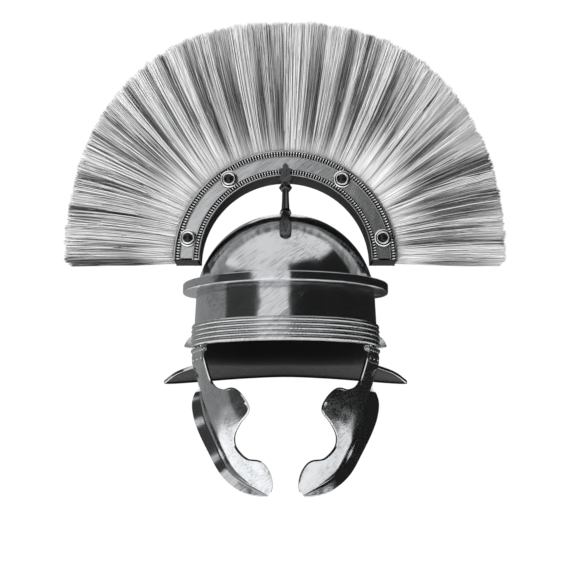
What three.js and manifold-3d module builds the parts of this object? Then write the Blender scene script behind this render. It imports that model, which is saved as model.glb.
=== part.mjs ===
// A Roman officer's iron helmet with a transverse horsehair crest.
// Millimetres, +Z up. The helmet faces -Y. The origin is the centre of the head opening,
// in the plane of the front rim, so the bowl is above Z = 0 and the cheek pieces hang below it.
// The wearer's left is +X.
import * as THREE from 'three';
import { mergeVertices } from 'three/addons/utils/BufferGeometryUtils.js';
import Module from 'manifold-3d';

const wasm = await Module();
wasm.setup();

// Driving sizes
const GAP = 0.35; // clearance between pieces that lie on each other
const BOWL = { halfWidth: 98, front: 112, back: 116, springUp: 50, rise: 97.5, flare: 2.5, sheet: 1.6 };
const EAR_ARCH = { start: 92.9, end: 111.8, crown: 18, footDrop: 12 }; // azimuths in degrees
const NAPE_RISE = 4; // how far the nape line climbs from the ear to the middle of the back
const GUARD_LIP = 3.5; // turned-down edge of the neck guard
const BAND = { ribs: 5, height: 24, valley: 1.3, crown: 2.8, reach: 86 }; // reach is an azimuth
const BROW_BAR = { under: 58, over: 67, shelf: 2.2, lip: 2.4, frontReach: 22, sideReach: 13 };
const HINGE = { x: 92.2, y: -35, z: -3.9, length: 58, knuckles: 5, knuckleR: 3, boreR: 1.75, pinR: 1.4 };
const HINGE_DIR = new THREE.Vector3(0.271, 0.963, 0).normalize(); // runs back and outwards
const LEAF = { sheet: 1.4, lowerDrop: 14, upperRise: 12 }; // drop below the pin, rise above the rim
const EAR_GUARD = { steps: 10, reach: 8, flare: 4, sheet: 1.3, flange: 6 };
const CHEEK = { sheet: 1.6, lip: 2.6, flangeTurn: 60, topDrop: 8, flatUntil: 45 };
const CREST = { centreUp: 94.5, inner: 93.5, outer: 122, halfDepth: 22, wall: 2.2, border: 8, relief: 1.2 };
const HAIR = { halfWidth: 240.5, height: 270, fullness: 2.3, locks: 40, rootDepth: 18, tipDepth: 24, overhang: 0.6 };
const BOSS = { outer: 9.6, collar: 7.2, bore: 5.1, height: 3.6, ring: 108.5, angles: [34.7, 77.2] };
const FORK = { strapFront: 90, strapBack: 60, strap: 2.5, barUnder: 180, prong: 3.5, finial: 201.5 };

// Neck guard outline from behind the ear to the middle of the back
const NECK_GUARD = [
  { side: 121, back: 50, up: -21 },
  { side: 135, back: 62, up: -29 },
  { side: 139, back: 84, up: -31 },
  { side: 125, back: 118, up: -29 },
  { side: 92, back: 146, up: -25 },
  { side: 48, back: 161, up: -21 },
  { side: 0, back: 165, up: -19 },
];

// Cheek piece sections from the hinge to the chin. A turn is the angle round the face from
// its middle, a drop is the distance below the rim, and flange is the out-turned rear edge.
const CHEEK_SECTIONS = [
  { rearTurn: 90, rearDrop: 9, frontTurn: 50, frontDrop: 8, flange: 0 },
  { rearTurn: 90, rearDrop: 19, frontTurn: 52, frontDrop: 17, flange: 0 },
  { rearTurn: 90, rearDrop: 40, frontTurn: 55, frontDrop: 36, flange: 0.8 },
  { rearTurn: 90, rearDrop: 48, frontTurn: 52, frontDrop: 45, flange: 9 },
  { rearTurn: 87, rearDrop: 57, frontTurn: 44, frontDrop: 49, flange: 14 },
  { rearTurn: 84, rearDrop: 69, frontTurn: 35, frontDrop: 48, flange: 15.5 },
  { rearTurn: 79, rearDrop: 82, frontTurn: 28, frontDrop: 58, flange: 15 },
  { rearTurn: 75, rearDrop: 95, frontTurn: 26, frontDrop: 70, flange: 14 },
  { rearTurn: 72, rearDrop: 108, frontTurn: 34, frontDrop: 82, flange: 13 },
  { rearTurn: 70, rearDrop: 120, frontTurn: 42, frontDrop: 96, flange: 12.5 },
  { rearTurn: 65, rearDrop: 129, frontTurn: 43, frontDrop: 108, flange: 12 },
  { rearTurn: 55, rearDrop: 137, frontTurn: 35, frontDrop: 119, flange: 11.5 },
  { rearTurn: 45, rearDrop: 143, frontTurn: 22, frontDrop: 122, flange: 11 },
  { rearTurn: 34, rearDrop: 148, frontTurn: 16, frontDrop: 132, flange: 9 },
  { rearTurn: 26, rearDrop: 152, frontTurn: 15, frontDrop: 144, flange: 5 },
  { rearTurn: 21, rearDrop: 154, frontTurn: 18, frontDrop: 151, flange: 1.5 },
];

const rad = THREE.MathUtils.degToRad;
const lerp = THREE.MathUtils.lerp;
const vec = (x, y, z) => new THREE.Vector3(x, y, z);

// Materials
const iron = new THREE.MeshStandardMaterial({ color: 0x8e9092, roughness: 0.28, metalness: 1 });
const tinned = new THREE.MeshStandardMaterial({ color: 0xa4a5a4, roughness: 0.34, metalness: 1 });
const enamel = new THREE.MeshStandardMaterial({ color: 0x070708, roughness: 0.15, metalness: 0 });
const horsehair = new THREE.MeshStandardMaterial({ color: 0xb9b8b4, roughness: 0.8, metalness: 0 });

// Turns a list of points and triangles into a geometry whose faces point out.
function body(points, triangles) {
  let six = 0;
  for (const [a, b, c] of triangles) six += points[a].dot(points[b].clone().cross(points[c]));
  const faces = six < 0 ? triangles.map(([a, b, c]) => [a, c, b]) : triangles;
  const geometry = new THREE.BufferGeometry().setFromPoints(points);
  geometry.setIndex(faces.flat());
  return geometry;
}

// Joins equal points of a grid and lists its triangles, without the empty ones.
function weldGrid(grid, closed) {
  const points = [];
  const known = new Map();
  const index = grid.map((row) => row.map((p) => {
    const key = [p.x, p.y, p.z].map((v) => Math.round(v * 500)).join();
    if (!known.has(key)) {
      known.set(key, points.length);
      points.push(p);
    }
    return known.get(key);
  }));
  const triangles = [];
  const add = (a, b, c) => {
    if (a !== b && b !== c && c !== a) triangles.push([a, b, c]);
  };
  const last = closed ? grid.length : grid.length - 1;
  for (let i = 0; i < last; i++) {
    const here = index[i];
    const next = index[(i + 1) % grid.length];
    for (let j = 0; j + 1 < here.length; j++) {
      add(here[j], next[j], next[j + 1]);
      add(here[j], next[j + 1], here[j + 1]);
    }
  }
  return { points, triangles };
}

// Sheet metal: a grid of points on the outer face, thickened inwards (side 1) or outwards (-1).
function sheetBody(grid, thickness, side, closed = false) {
  const { points, triangles } = weldGrid(grid, closed);
  const normals = points.map(() => vec(0, 0, 0));
  for (const [a, b, c] of triangles) {
    const n = points[b].clone().sub(points[a]).cross(points[c].clone().sub(points[a]));
    for (const i of [a, b, c]) normals[i].add(n);
  }
  const count = points.length;
  const inner = points.map((p, i) => p.clone().addScaledVector(normals[i].normalize(), -side * thickness));
  const edges = new Set();
  for (const [a, b, c] of triangles) {
    for (const [s, e] of [[a, b], [b, c], [c, a]]) edges.add(`${s},${e}`);
  }
  const faces = triangles.flatMap(([a, b, c]) => [[a, b, c], [a + count, c + count, b + count]]);
  for (const edge of edges) {
    const [s, e] = edge.split(',').map(Number);
    if (edges.has(`${e},${s}`)) continue;
    faces.push([e, s, s + count], [e, s + count, e + count]);
  }
  return body([...points, ...inner], faces);
}

// A closed section carried through stations and capped. flat is the section drawn in 2-D.
function sweptBody(stations, flat) {
  const n = flat.length;
  const points = stations.flat();
  const faces = [];
  for (let i = 0; i + 1 < stations.length; i++) {
    for (let j = 0; j < n; j++) {
      const k = (j + 1) % n;
      faces.push([i * n + j, i * n + k, (i + 1) * n + k], [i * n + j, (i + 1) * n + k, (i + 1) * n + j]);
    }
  }
  const end = (stations.length - 1) * n;
  const turned = THREE.ShapeUtils.area(flat) < 0;
  for (const [a, b, c] of THREE.ShapeUtils.triangulateShape(flat, [])) {
    const cap = turned ? [a, c, b] : [a, b, c];
    faces.push([cap[0], cap[2], cap[1]]);
    faces.push([end + cap[0], end + cap[1], end + cap[2]]);
  }
  const aligned = THREE.ShapeUtils.area(flat) > 0;
  const sides = 2 * (stations.length - 1) * n;
  return body(points, aligned ? faces : faces.map((f, i) => (i < sides ? [f[0], f[2], f[1]] : f)));
}

// Boolean joins and cuts
function solidOf(geometry, matrix = new THREE.Matrix4()) {
  const bare = geometry.clone().applyMatrix4(matrix);
  for (const name of ['normal', 'uv']) bare.deleteAttribute(name);
  const merged = mergeVertices(bare, 1e-4);
  return new wasm.Manifold(new wasm.Mesh({
    numProp: 3,
    vertProperties: merged.attributes.position.array,
    triVerts: new Uint32Array(merged.index.array),
  }));
}

function geometryOf(solid) {
  const mesh = solid.getMesh();
  const geometry = new THREE.BufferGeometry();
  geometry.setAttribute('position', new THREE.BufferAttribute(new Float32Array(mesh.vertProperties), 3));
  geometry.setIndex(Array.from(mesh.triVerts));
  return geometry;
}

const moved = (x, y, z) => new THREE.Matrix4().makeTranslation(x, y, z);

// The right-hand copy of a left-hand body
function mirrored(geometry) {
  const copy = geometry.clone().scale(-1, 1, 1);
  const faces = copy.index.array;
  for (let i = 0; i < faces.length; i += 3) [faces[i + 1], faces[i + 2]] = [faces[i + 2], faces[i + 1]];
  return copy;
}

function node(name, geometry, material, parent) {
  const mesh = new THREE.Mesh(geometry, material);
  mesh.name = name;
  parent.add(mesh);
  return mesh;
}

// The bowl's outer face. Azimuth 0 is the front, 90 the wearer's left and 180 the back.
function bowlPoint(azimuth, up, offset = 0) {
  const a = rad(azimuth);
  const spread = BOWL.flare * Math.max(0, BOWL.springUp - up) / BOWL.springUp;
  const wide = BOWL.halfWidth + spread;
  const long = (Math.cos(a) > 0 ? BOWL.front : BOWL.back) + spread;
  const above = Math.max(0, up - BOWL.springUp) / BOWL.rise;
  const k = Math.sqrt(Math.max(0, 1 - above * above));
  const p = vec(wide * k * Math.sin(a), -long * k * Math.cos(a), up);
  const n = vec(p.x / (wide * wide), p.y / (long * long), above / BOWL.rise).normalize();
  return p.addScaledVector(n, offset);
}

// Height of the bowl's lower edge: level in front, arched over the ear, and low at the nape.
function rimUp(azimuth) {
  const a = Math.abs(azimuth);
  if (a <= EAR_ARCH.start) return 0;
  const t = (a - EAR_ARCH.start) / (EAR_ARCH.end - EAR_ARCH.start);
  if (t <= 1) return EAR_ARCH.crown * Math.sin(Math.PI * t) - EAR_ARCH.footDrop * t;
  return -EAR_ARCH.footDrop + NAPE_RISE * (a - EAR_ARCH.end) / (180 - EAR_ARCH.end);
}

// Azimuths of the bowl's stations, from the middle of the front to the middle of the back
const frontAzimuths = Array.from({ length: 13 }, (_, i) => 7.5 * i);
const earAzimuths = [0, 1, 2, 3, 4, 5, 6].map((i) => lerp(EAR_ARCH.start, EAR_ARCH.end, i / 6));
const backAzimuths = Array.from({ length: 11 }, (_, i) => lerp(EAR_ARCH.end, 180, (i + 1) / 11));
const halfAzimuths = [...frontAzimuths, ...earAzimuths, ...backAzimuths];
const allAzimuths = [...halfAzimuths, ...halfAzimuths.slice(1, -1).reverse().map((a) => -a)];

const guardOutline = new THREE.CatmullRomCurve3([
  bowlPoint(EAR_ARCH.end, -EAR_ARCH.footDrop),
  ...NECK_GUARD.map((p) => vec(p.side, p.back, p.up)),
  ...NECK_GUARD.slice(0, -1).reverse().map((p) => vec(-p.side, p.back, p.up)),
  bowlPoint(-EAR_ARCH.end, -EAR_ARCH.footDrop),
], false, 'catmullrom', 0.5);

// One line of the bowl from its crown to its edge, and on to the neck guard's edge behind.
function bowlLine(azimuth) {
  const line = [0, 15, 30, 45, 58, 70, 80, 90].map((tilt) => {
    const k = Math.sin(rad(tilt));
    return bowlPoint(azimuth, BOWL.springUp + BOWL.rise * Math.sqrt(1 - k * k));
  });
  const low = rimUp(azimuth);
  for (const t of [0.5, 1]) line.push(bowlPoint(azimuth, lerp(BOWL.springUp, low, t)));
  const root = line.at(-1);
  const along = (Math.abs(azimuth) - EAR_ARCH.end) / (180 - EAR_ARCH.end);
  const steps = [0.1, 0.4, 0.75, 1];
  if (along < 1e-6) {
    for (let i = 0; i <= steps.length; i++) line.push(root.clone());
    return line;
  }
  const share = Math.pow(along, 0.85) / 2;
  const edge = guardOutline.getPoint(azimuth > 0 ? share : 1 - share);
  for (const t of steps) {
    const p = root.clone().lerp(edge, t);
    p.z = lerp(root.z, edge.z, Math.pow(t, 1.2));
    line.push(p);
  }
  const out = edge.clone().sub(root).setZ(0).normalize();
  line.push(edge.clone().addScaledVector(out, 0.5).add(vec(0, 0, -GUARD_LIP)));
  return line;
}

function skull() {
  return sheetBody(allAzimuths.map(bowlLine), BOWL.sheet, -1, true);
}

// A band carried round the bowl. The section's points are [offset from the bowl, height].
function bandRound(section, azimuths, levelUp) {
  const stations = azimuths.map((a) => section(a).map(([off, up]) => {
    const p = bowlPoint(a, levelUp === undefined ? up : levelUp, off);
    return vec(p.x, p.y, up);
  }));
  return sweptBody(stations, section(0).map(([off, up]) => new THREE.Vector2(off, up)));
}

// Reeded band along the front rim
function browBand() {
  const pitch = BAND.height / BAND.ribs;
  const outline = [[GAP, 0.3]];
  for (let i = 0; i < BAND.ribs; i++) {
    outline.push([BAND.valley, 0.3 + pitch * i], [BAND.crown, 0.3 + pitch * (i + 0.5)]);
  }
  outline.push([BAND.valley, 0.3 + BAND.height], [GAP, 0.3 + BAND.height]);
  const inside = frontAzimuths.slice(0, -1);
  const azimuths = [-BAND.reach, ...inside.slice(1).reverse().map((a) => -a), ...inside, BAND.reach];
  return bandRound(() => outline, azimuths);
}

// Projecting bar over the brow: a shelf with an upturned lip
function browBar() {
  const ends = [96, 102];
  const azimuths = [...frontAzimuths.slice(1), ...ends].reverse().map((a) => -a)
    .concat(frontAzimuths, ends);
  const section = (azimuth) => {
    const a = Math.abs(azimuth);
    const side = Math.min(1, a / 90);
    const reach = lerp(BROW_BAR.frontReach, BROW_BAR.sideReach, side * side) - Math.max(0, a - 90) * 0.3;
    const { under, over, shelf, lip } = BROW_BAR;
    return [[GAP, under], [reach, under], [reach, over], [reach - lip, over],
      [reach - lip, under + shelf], [GAP, under + shelf]];
  };
  return bandRound(section, azimuths, BROW_BAR.under);
}

// Shelf that arches over the left ear, with a flange that lies on the bowl
function earGuard() {
  const { steps, reach, flare, sheet, flange } = EAR_GUARD;
  const section = (out) => [[GAP, 0.5], [out, 0.5], [out, 0.5 + sheet], [GAP + sheet, 0.5 + sheet],
    [GAP + sheet, flange], [GAP, flange]];
  const stations = Array.from({ length: steps + 1 }, (_, i) => {
    const azimuth = (t) => lerp(EAR_ARCH.start, EAR_ARCH.end, t);
    const at = (t) => bowlPoint(azimuth(t), rimUp(azimuth(t)));
    const t = i / steps;
    const out = bowlPoint(azimuth(t), 0, 1).sub(bowlPoint(azimuth(t), 0));
    const along = at(Math.min(1, t + 0.02)).sub(at(Math.max(0, t - 0.02)));
    const away = out.clone().cross(along).normalize();
    return section(reach + flare * Math.abs(2 * t - 1) ** 1.5)
      .map(([o, h]) => at(t).addScaledVector(out, o).addScaledVector(away, h));
  });
  return sweptBody(stations, section(reach).map(([o, h]) => new THREE.Vector2(o, h)));
}

// The face below the rim: an ellipse that narrows towards the chin
function facePoint(turn, drop) {
  const low = Math.max(0, drop) / 160;
  const wide = 96.5 - 50.7 * Math.pow(low, 2.07);
  const long = 100 - 8 * low;
  const face = vec(wide * Math.sin(rad(turn)), -long * Math.cos(rad(turn)), -drop);
  const onHinge = HINGE.x + (face.y - HINGE.y) * HINGE_DIR.x / HINGE_DIR.y;
  const flat = 1 - THREE.MathUtils.smoothstep(drop, CHEEK.topDrop, CHEEK.flatUntil);
  return vec(lerp(face.x, onHinge, flat), face.y, face.z);
}

// The outer face of a cheek piece: rear flange, panel and front lip
function cheekGrid(perSection, across) {
  const names = Object.keys(CHEEK_SECTIONS[0]);
  const curves = names.map((name) => new THREE.CatmullRomCurve3(
    CHEEK_SECTIONS.map((row, i) => vec(i, row[name], 0)), false, 'catmullrom', 0.5));
  const rows = (CHEEK_SECTIONS.length - 1) * perSection;
  const grid = [];
  for (let i = 0; i <= rows; i++) {
    const at = Object.fromEntries(names.map((name, k) => [name, curves[k].getPoint(i / rows).y]));
    const panel = (s) => facePoint(lerp(at.rearTurn, at.frontTurn, s), lerp(at.rearDrop, at.frontDrop, s));
    const normalAt = (s) => {
      const turn = lerp(at.rearTurn, at.frontTurn, s);
      const drop = lerp(at.rearDrop, at.frontDrop, s);
      const round = facePoint(turn - 1, drop).sub(facePoint(turn + 1, drop));
      const down = facePoint(turn, drop + 1).sub(facePoint(turn, drop - 1));
      return round.cross(down).normalize();
    };
    const edge = (s, inner, turn, width) => {
      const away = panel(s).sub(panel(inner)).normalize();
      return panel(s).addScaledVector(away, Math.cos(rad(turn)) * width)
        .addScaledVector(normalAt(s), Math.sin(rad(turn)) * width);
    };
    const line = [edge(0, 0.1, CHEEK.flangeTurn, Math.max(0.4, at.flange))];
    for (let j = 0; j <= across; j++) line.push(panel(j / across));
    line.push(edge(1, 0.9, 65, CHEEK.lip));
    grid.push(line);
  }
  return grid;
}

function cheekPiece() {
  return sheetBody(cheekGrid(1, 5), CHEEK.sheet, -1);
}

// Hinge leaves, in the hinge's own frame: X outwards, Y along the pin, Z up
const SEGMENT = HINGE.length / HINGE.knuckles;
const hingeTurn = -Math.atan2(HINGE_DIR.x, HINGE_DIR.y);
const tube = (radius, length, sides) => new THREE.CylinderGeometry(radius, radius, length, sides);

function hingeLeaf(own, plate) {
  let leaf = plate.add(solidOf(tube(HINGE.knuckleR, HINGE.length, 12)));
  for (let i = 0; i < HINGE.knuckles; i++) {
    if (own.includes(i)) continue;
    const y = (i + 0.5) * SEGMENT - HINGE.length / 2;
    const room = 2 * (HINGE.knuckleR + GAP);
    leaf = leaf.subtract(solidOf(new THREE.BoxGeometry(room + 4, SEGMENT + 2 * GAP, room), moved(0, y, 0)));
  }
  return geometryOf(leaf.subtract(solidOf(tube(HINGE.boreR, HINGE.length + 2, 10))));
}

// A flat leaf on the outer face of the cheek piece
function lowerLeaf() {
  const { sheet, lowerDrop } = LEAF;
  const plate = new THREE.BoxGeometry(sheet, HINGE.length - 6, lowerDrop);
  return hingeLeaf([1, 3], solidOf(plate, moved(GAP + sheet / 2, 1, -lowerDrop / 2)));
}

// A leaf bent to lie inside the bowl
function upperLeaf() {
  const face = -BOWL.sheet - GAP;
  const section = [[face, HINGE.z], [face, LEAF.upperRise], [face - LEAF.sheet, LEAF.upperRise], [face - LEAF.sheet, HINGE.z]];
  const azimuths = [56.6, 60, 67.5, 75, 82.5, 86.4];
  const frame = moved(HINGE.x, HINGE.y, HINGE.z).multiply(new THREE.Matrix4().makeRotationZ(hingeTurn));
  return hingeLeaf([0, 2, 4], solidOf(bandRound(() => section, azimuths), frame.invert()));
}

// Crest box: an arched trough, open outwards, with raised borders on both faces
function crestBox() {
  const { inner, outer, halfDepth, wall, border, relief } = CREST;
  const face = halfDepth - relief;
  const inside = face - wall;
  const half = [[inner, halfDepth], [inner + border, halfDepth], [inner + border, face],
    [outer - border, face], [outer - border, halfDepth], [outer, halfDepth], [outer, inside], [inner + wall, inside]];
  const section = [...half.map(([r, y]) => [r, -y]), ...half.reverse()];
  const steps = 30;
  const stations = [];
  for (let i = 0; i <= steps; i++) {
    const a = rad(lerp(-90, 90, i / steps));
    stations.push(section.map(([r, y]) => vec(r * Math.sin(a), y, r * Math.cos(a))));
  }
  let box = solidOf(sweptBody(stations, section.map(([r, y]) => new THREE.Vector2(r, y))));
  const plate = new THREE.BoxGeometry(outer - inner - wall, 2 * inside + 0.4, wall);
  for (const side of [1, -1]) {
    box = box.add(solidOf(plate, moved(side * (outer + inner) / 2, 0, 0.05 + wall / 2)));
  }
  return geometryOf(box);
}

// Crest: locks side by side round the box, fused along their length into one fan
function crestHair() {
  const rootR = CREST.inner + CREST.wall + GAP;
  const mouthR = CREST.outer + GAP;
  const columns = 2 * HAIR.locks;
  const stations = [];
  for (let i = 0; i <= columns; i++) {
    const t = lerp(-1, 1, i / columns);
    const crown = i % 2;
    const lock = Math.floor(i / 2);
    const ragged = 2.2 * Math.sin(lock * 2.4) + 1.3 * Math.sin(lock * 5.1);
    const turn = rad(90 * t);
    const n = HAIR.fullness;
    const shape = Math.pow(Math.abs(Math.sin(turn)) / HAIR.halfWidth, n)
      + Math.pow(Math.abs(Math.cos(turn)) / HAIR.height, n);
    const tipR = Math.pow(shape, -1 / n) + ragged + (crown ? 1 : -2.5);
    const bulge = crown ? 0.9 : -0.9;
    const profile = [[rootR, HAIR.rootDepth], [CREST.outer - 0.4, HAIR.rootDepth], [mouthR + 1, HAIR.rootDepth + 0.4],
      [lerp(mouthR, tipR, 0.5), 21 + bulge], [tipR - 5, HAIR.tipDepth + bulge], [tipR, 12]];
    const loop = [...profile.map(([r, d]) => [r, -d]), ...profile.map(([r, d]) => [r, d]).reverse()];
    const clear = (CREST.wall + GAP + 0.1) / rootR;
    stations.push(loop.map(([r, y]) => {
      const inBox = r < CREST.outer;
      const a = inBox ? turn * (1 - clear / (Math.PI / 2)) : turn * (1 + rad(HAIR.overhang));
      return vec(r * Math.sin(a), y, r * Math.cos(a));
    }));
  }
  return sweptBody(stations, stations[0].map((p) => new THREE.Vector2(Math.hypot(p.x, p.z), p.y)));
}

// Boss: a collar round a domed stud
function bossCollar() {
  const { outer, collar, bore, height } = BOSS;
  const profile = [[bore, 0], [outer, 0], [outer - 0.2, 1.4], [collar, 1.6], [collar - 0.4, height], [bore, height], [bore, 0]];
  return new THREE.LatheGeometry(profile.map(([r, h]) => new THREE.Vector2(r, h)), 12);
}

function bossStud() {
  const r = BOSS.bore - GAP;
  const profile = [[0, 0], [r, 0], [r, 1.6], [0.7 * r, 3], [0, 3.7]];
  return new THREE.LatheGeometry(profile.map(([x, h]) => new THREE.Vector2(x, h)), 12);
}

// Crest fork: a strap on the crown, a stem, a bar under the box and two prongs that grip it
function crestFork() {
  const widths = [
    { y: -FORK.strapFront, half: 4.5 },
    { y: -87, half: 6.4 },
    { y: -78, half: 6.4 },
    { y: -69, half: 6.4 },
    { y: -64, half: 3.6 },
    { y: -58, half: 5.2 },
    { y: -45, half: 5.4 },
    { y: -31, half: 5.7 },
    { y: -16, half: 6 },
    { y: 0, half: 7 },
    { y: 16, half: 6 },
    { y: 31, half: 5.7 },
    { y: 45, half: 5.4 },
    { y: FORK.strapBack, half: 4 },
  ];
  const onDome = (y, offset) => {
    const long = y < 0 ? BOWL.front : BOWL.back;
    return bowlPoint(y < 0 ? 0 : 180, BOWL.springUp + BOWL.rise * Math.sqrt(1 - (y / long) ** 2), offset);
  };
  const stations = widths.map(({ y, half }) => {
    const low = onDome(y, GAP);
    const high = onDome(y, GAP + FORK.strap);
    return [[-1, low], [1, low], [1, high], [-1, high]].map(([s, p]) => vec(s * half, p.y, p.z));
  });
  const flat = [[-1, 0], [1, 0], [1, 1], [-1, 1]].map(([x, y]) => new THREE.Vector2(x, y));
  let fork = solidOf(sweptBody(stations, flat));
  const crownUp = BOWL.springUp + BOWL.rise + GAP;
  const stemLevels = [
    { up: crownUp + 0.5, x: 5.6, y: 9 },
    { up: crownUp + 5, x: 4.6, y: 7.5 },
    { up: FORK.barUnder + 0.5, x: 3.8, y: 6 },
  ];
  const corner = [[-1, -1], [1, -1], [1, 1], [-1, 1]];
  const stem = sweptBody(stemLevels.map((l) => corner.map(([x, y]) => vec(x * l.x, y * l.y, l.up))),
    corner.map(([x, y]) => new THREE.Vector2(x, y)));
  fork = fork.add(solidOf(stem));
  const barTop = CREST.centreUp + CREST.inner - 2 * GAP;
  const reach = CREST.halfDepth + GAP + FORK.prong;
  const bar = new THREE.BoxGeometry(9, 2 * reach, barTop - FORK.barUnder);
  fork = fork.add(solidOf(bar, moved(0, 0, (barTop + FORK.barUnder) / 2)));
  const tip = FORK.finial - FORK.barUnder;
  const outline = new THREE.Shape([[-5, 0], [5, 0], [6.8, 3.5], [5.2, 8], [6.8, 14], [4.4, 16], [2.6, tip - 5],
    [2.9, tip - 2.5], [0, tip]].map(([x, z]) => new THREE.Vector2(x, z))
    .concat([[-2.9, tip - 2.5], [-2.6, tip - 5], [-4.4, 16], [-6.8, 14], [-5.2, 8], [-6.8, 3.5]]
      .map(([x, z]) => new THREE.Vector2(x, z))));
  const prong = new THREE.ExtrudeGeometry(outline, { depth: FORK.prong, bevelEnabled: false });
  const upright = new THREE.Matrix4().makeRotationX(Math.PI / 2);
  for (const y of [-reach + FORK.prong, reach]) {
    fork = fork.add(solidOf(prong, moved(0, y, FORK.barUnder - 0.2).multiply(upright)));
  }
  return geometryOf(fork);
}

// Assembly
const helmet = new THREE.Group();
node('skull', skull(), iron, helmet);
node('brow_band', browBand(), tinned, helmet);
node('brow_guard', browBar(), iron, helmet);
node('crest_fork', crestFork(), tinned, helmet);

for (const [label, side] of [['left', 1], ['right', -1]]) {
  const handed = (geometry) => (side > 0 ? geometry : mirrored(geometry));
  node(`ear_guard_${label}`, handed(earGuard()), tinned, helmet);
  node(`cheek_piece_${label}`, handed(cheekPiece()), iron, helmet);
  const hinge = new THREE.Group();
  hinge.position.set(side * HINGE.x, HINGE.y, HINGE.z);
  hinge.rotation.z = side * hingeTurn;
  helmet.add(hinge);
  node(`hinge_upper_${label}`, handed(upperLeaf()), tinned, hinge);
  node(`hinge_lower_${label}`, handed(lowerLeaf()), tinned, hinge);
  node(`hinge_pin_${label}`, tube(HINGE.pinR, HINGE.length + 2, 10), iron, hinge);
}

const crest = new THREE.Group();
crest.position.z = CREST.centreUp;
helmet.add(crest);
node('crest_box', crestBox(), tinned, crest);
node('crest_hair', crestHair(), horsehair, crest);
for (const [label, side] of [['left', 1], ['right', -1]]) {
  for (const [place, angle] of [['upper', BOSS.angles[0]], ['lower', BOSS.angles[1]]]) {
    const boss = new THREE.Group();
    const a = rad(side * angle);
    boss.position.set(BOSS.ring * Math.sin(a), -(CREST.halfDepth + GAP), BOSS.ring * Math.cos(a));
    boss.rotation.x = Math.PI;
    crest.add(boss);
    node(`boss_${place}_${label}`, bossCollar(), tinned, boss);
    node(`stud_${place}_${label}`, bossStud(), enamel, boss);
  }
}

export default helmet;
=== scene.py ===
"""A Roman officer's iron helmet with a transverse horsehair crest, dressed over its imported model.

Metres, +Z up. The helmet faces -Y and the wearer's left is +X.
"""

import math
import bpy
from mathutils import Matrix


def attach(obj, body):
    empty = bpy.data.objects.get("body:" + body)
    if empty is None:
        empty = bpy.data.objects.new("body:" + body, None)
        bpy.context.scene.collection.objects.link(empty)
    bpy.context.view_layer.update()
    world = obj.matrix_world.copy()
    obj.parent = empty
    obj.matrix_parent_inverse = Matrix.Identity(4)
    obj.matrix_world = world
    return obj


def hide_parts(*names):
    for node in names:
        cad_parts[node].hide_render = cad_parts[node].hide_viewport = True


bl_info = {
    "name": "Crested Roman helmet",
    "version": (1, 0, 0),
    "blender": (4, 5, 0),
    "location": "View3D > Sidebar > Helmet",
    "description": "Builds a polished iron helmet with hinged cheek pieces and a transverse crest",
    "category": "Object",
}

import bmesh
import bpy
import numpy as np
from bpy.props import FloatProperty, FloatVectorProperty, IntProperty, PointerProperty
from mathutils import Vector

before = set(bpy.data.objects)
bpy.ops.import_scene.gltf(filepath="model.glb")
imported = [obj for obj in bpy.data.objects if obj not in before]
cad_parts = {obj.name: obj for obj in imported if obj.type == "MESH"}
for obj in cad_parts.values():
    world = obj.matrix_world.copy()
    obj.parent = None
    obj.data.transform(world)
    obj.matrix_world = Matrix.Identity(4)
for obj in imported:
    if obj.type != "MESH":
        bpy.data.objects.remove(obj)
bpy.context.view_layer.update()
MM = 0.001
SIDES = (("left", 1), ("right", -1))

# Sizes shared with the solids, in millimetres
GAP = 0.35
FORK = {"strap_front": 90, "strap_back": 60, "strap": 2.5, "bar_under": 180, "prong": 3.5, "finial": 201.5}
HINGE_AT = np.array([92.2, -35.0, -3.9])
HINGE_ALONG = np.array([0.271, 0.963, 0.0]) / math.hypot(0.271, 0.963)
HINGE = {"length": 58, "knuckles": 5, "knuckle": 3.0, "bore": 1.75, "pin": 1.4, "leaf": 1.4, "drop": 14, "rise": 12}

# Neck guard outline from behind the ear to the middle of the back: side, back, up
NECK_GUARD = [
    (121, 50, -21), (135, 62, -29), (139, 84, -31), (125, 118, -29), (92, 146, -25), (48, 161, -21), (0, 165, -19),
]

# Where the bosses sit on the crest box, in degrees from its top
BOSS_TURNS = (("upper", 34.7), ("lower", 77.2))

# The brow bar's azimuths, in degrees: where it starts to taper, and its rounded end
BAR_TAPER, BAR_END = 92, 102

# Cheek piece sections from the hinge to the chin: rear turn, rear drop, front turn, front drop, flange
CHEEK_SECTIONS = [
    (90, 9, 50, 8, 0), (90, 19, 52, 17, 0), (90, 40, 55, 36, 0.8), (90, 48, 52, 45, 9),
    (87, 57, 44, 49, 14), (84, 69, 35, 48, 15.5), (79, 82, 28, 58, 15), (75, 95, 26, 70, 14),
    (72, 108, 34, 82, 13), (70, 120, 42, 96, 12.5), (65, 129, 43, 108, 12), (55, 137, 35, 119, 11.5),
    (45, 143, 22, 122, 11), (34, 148, 16, 132, 9), (26, 152, 15, 144, 5), (21, 154, 18, 151, 1.5),
]


def linear(hex_colour):
    """An sRGB hex colour as linear red, green, blue and alpha."""
    parts = [int(hex_colour[i:i + 2], 16) / 255 for i in (1, 3, 5)]
    return tuple(c / 12.92 if c <= 0.04045 else ((c + 0.055) / 1.055) ** 2.4 for c in parts) + (1.0,)


def length(name, description, millimetres):
    """A size property in metres, from its default in millimetres."""
    return FloatProperty(name=name, description=description, default=millimetres * MM, unit="LENGTH", precision=5)


def degrees_of(name, description, value):
    """An angle property in degrees."""
    return FloatProperty(name=name, description=f"{description}, in degrees", default=value)


def colour(name, description, hex_colour):
    """A colour property from its sRGB hex value."""
    return FloatVectorProperty(name=name, description=description, subtype="COLOR", size=4, min=0, max=1,
                               default=linear(hex_colour))


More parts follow.
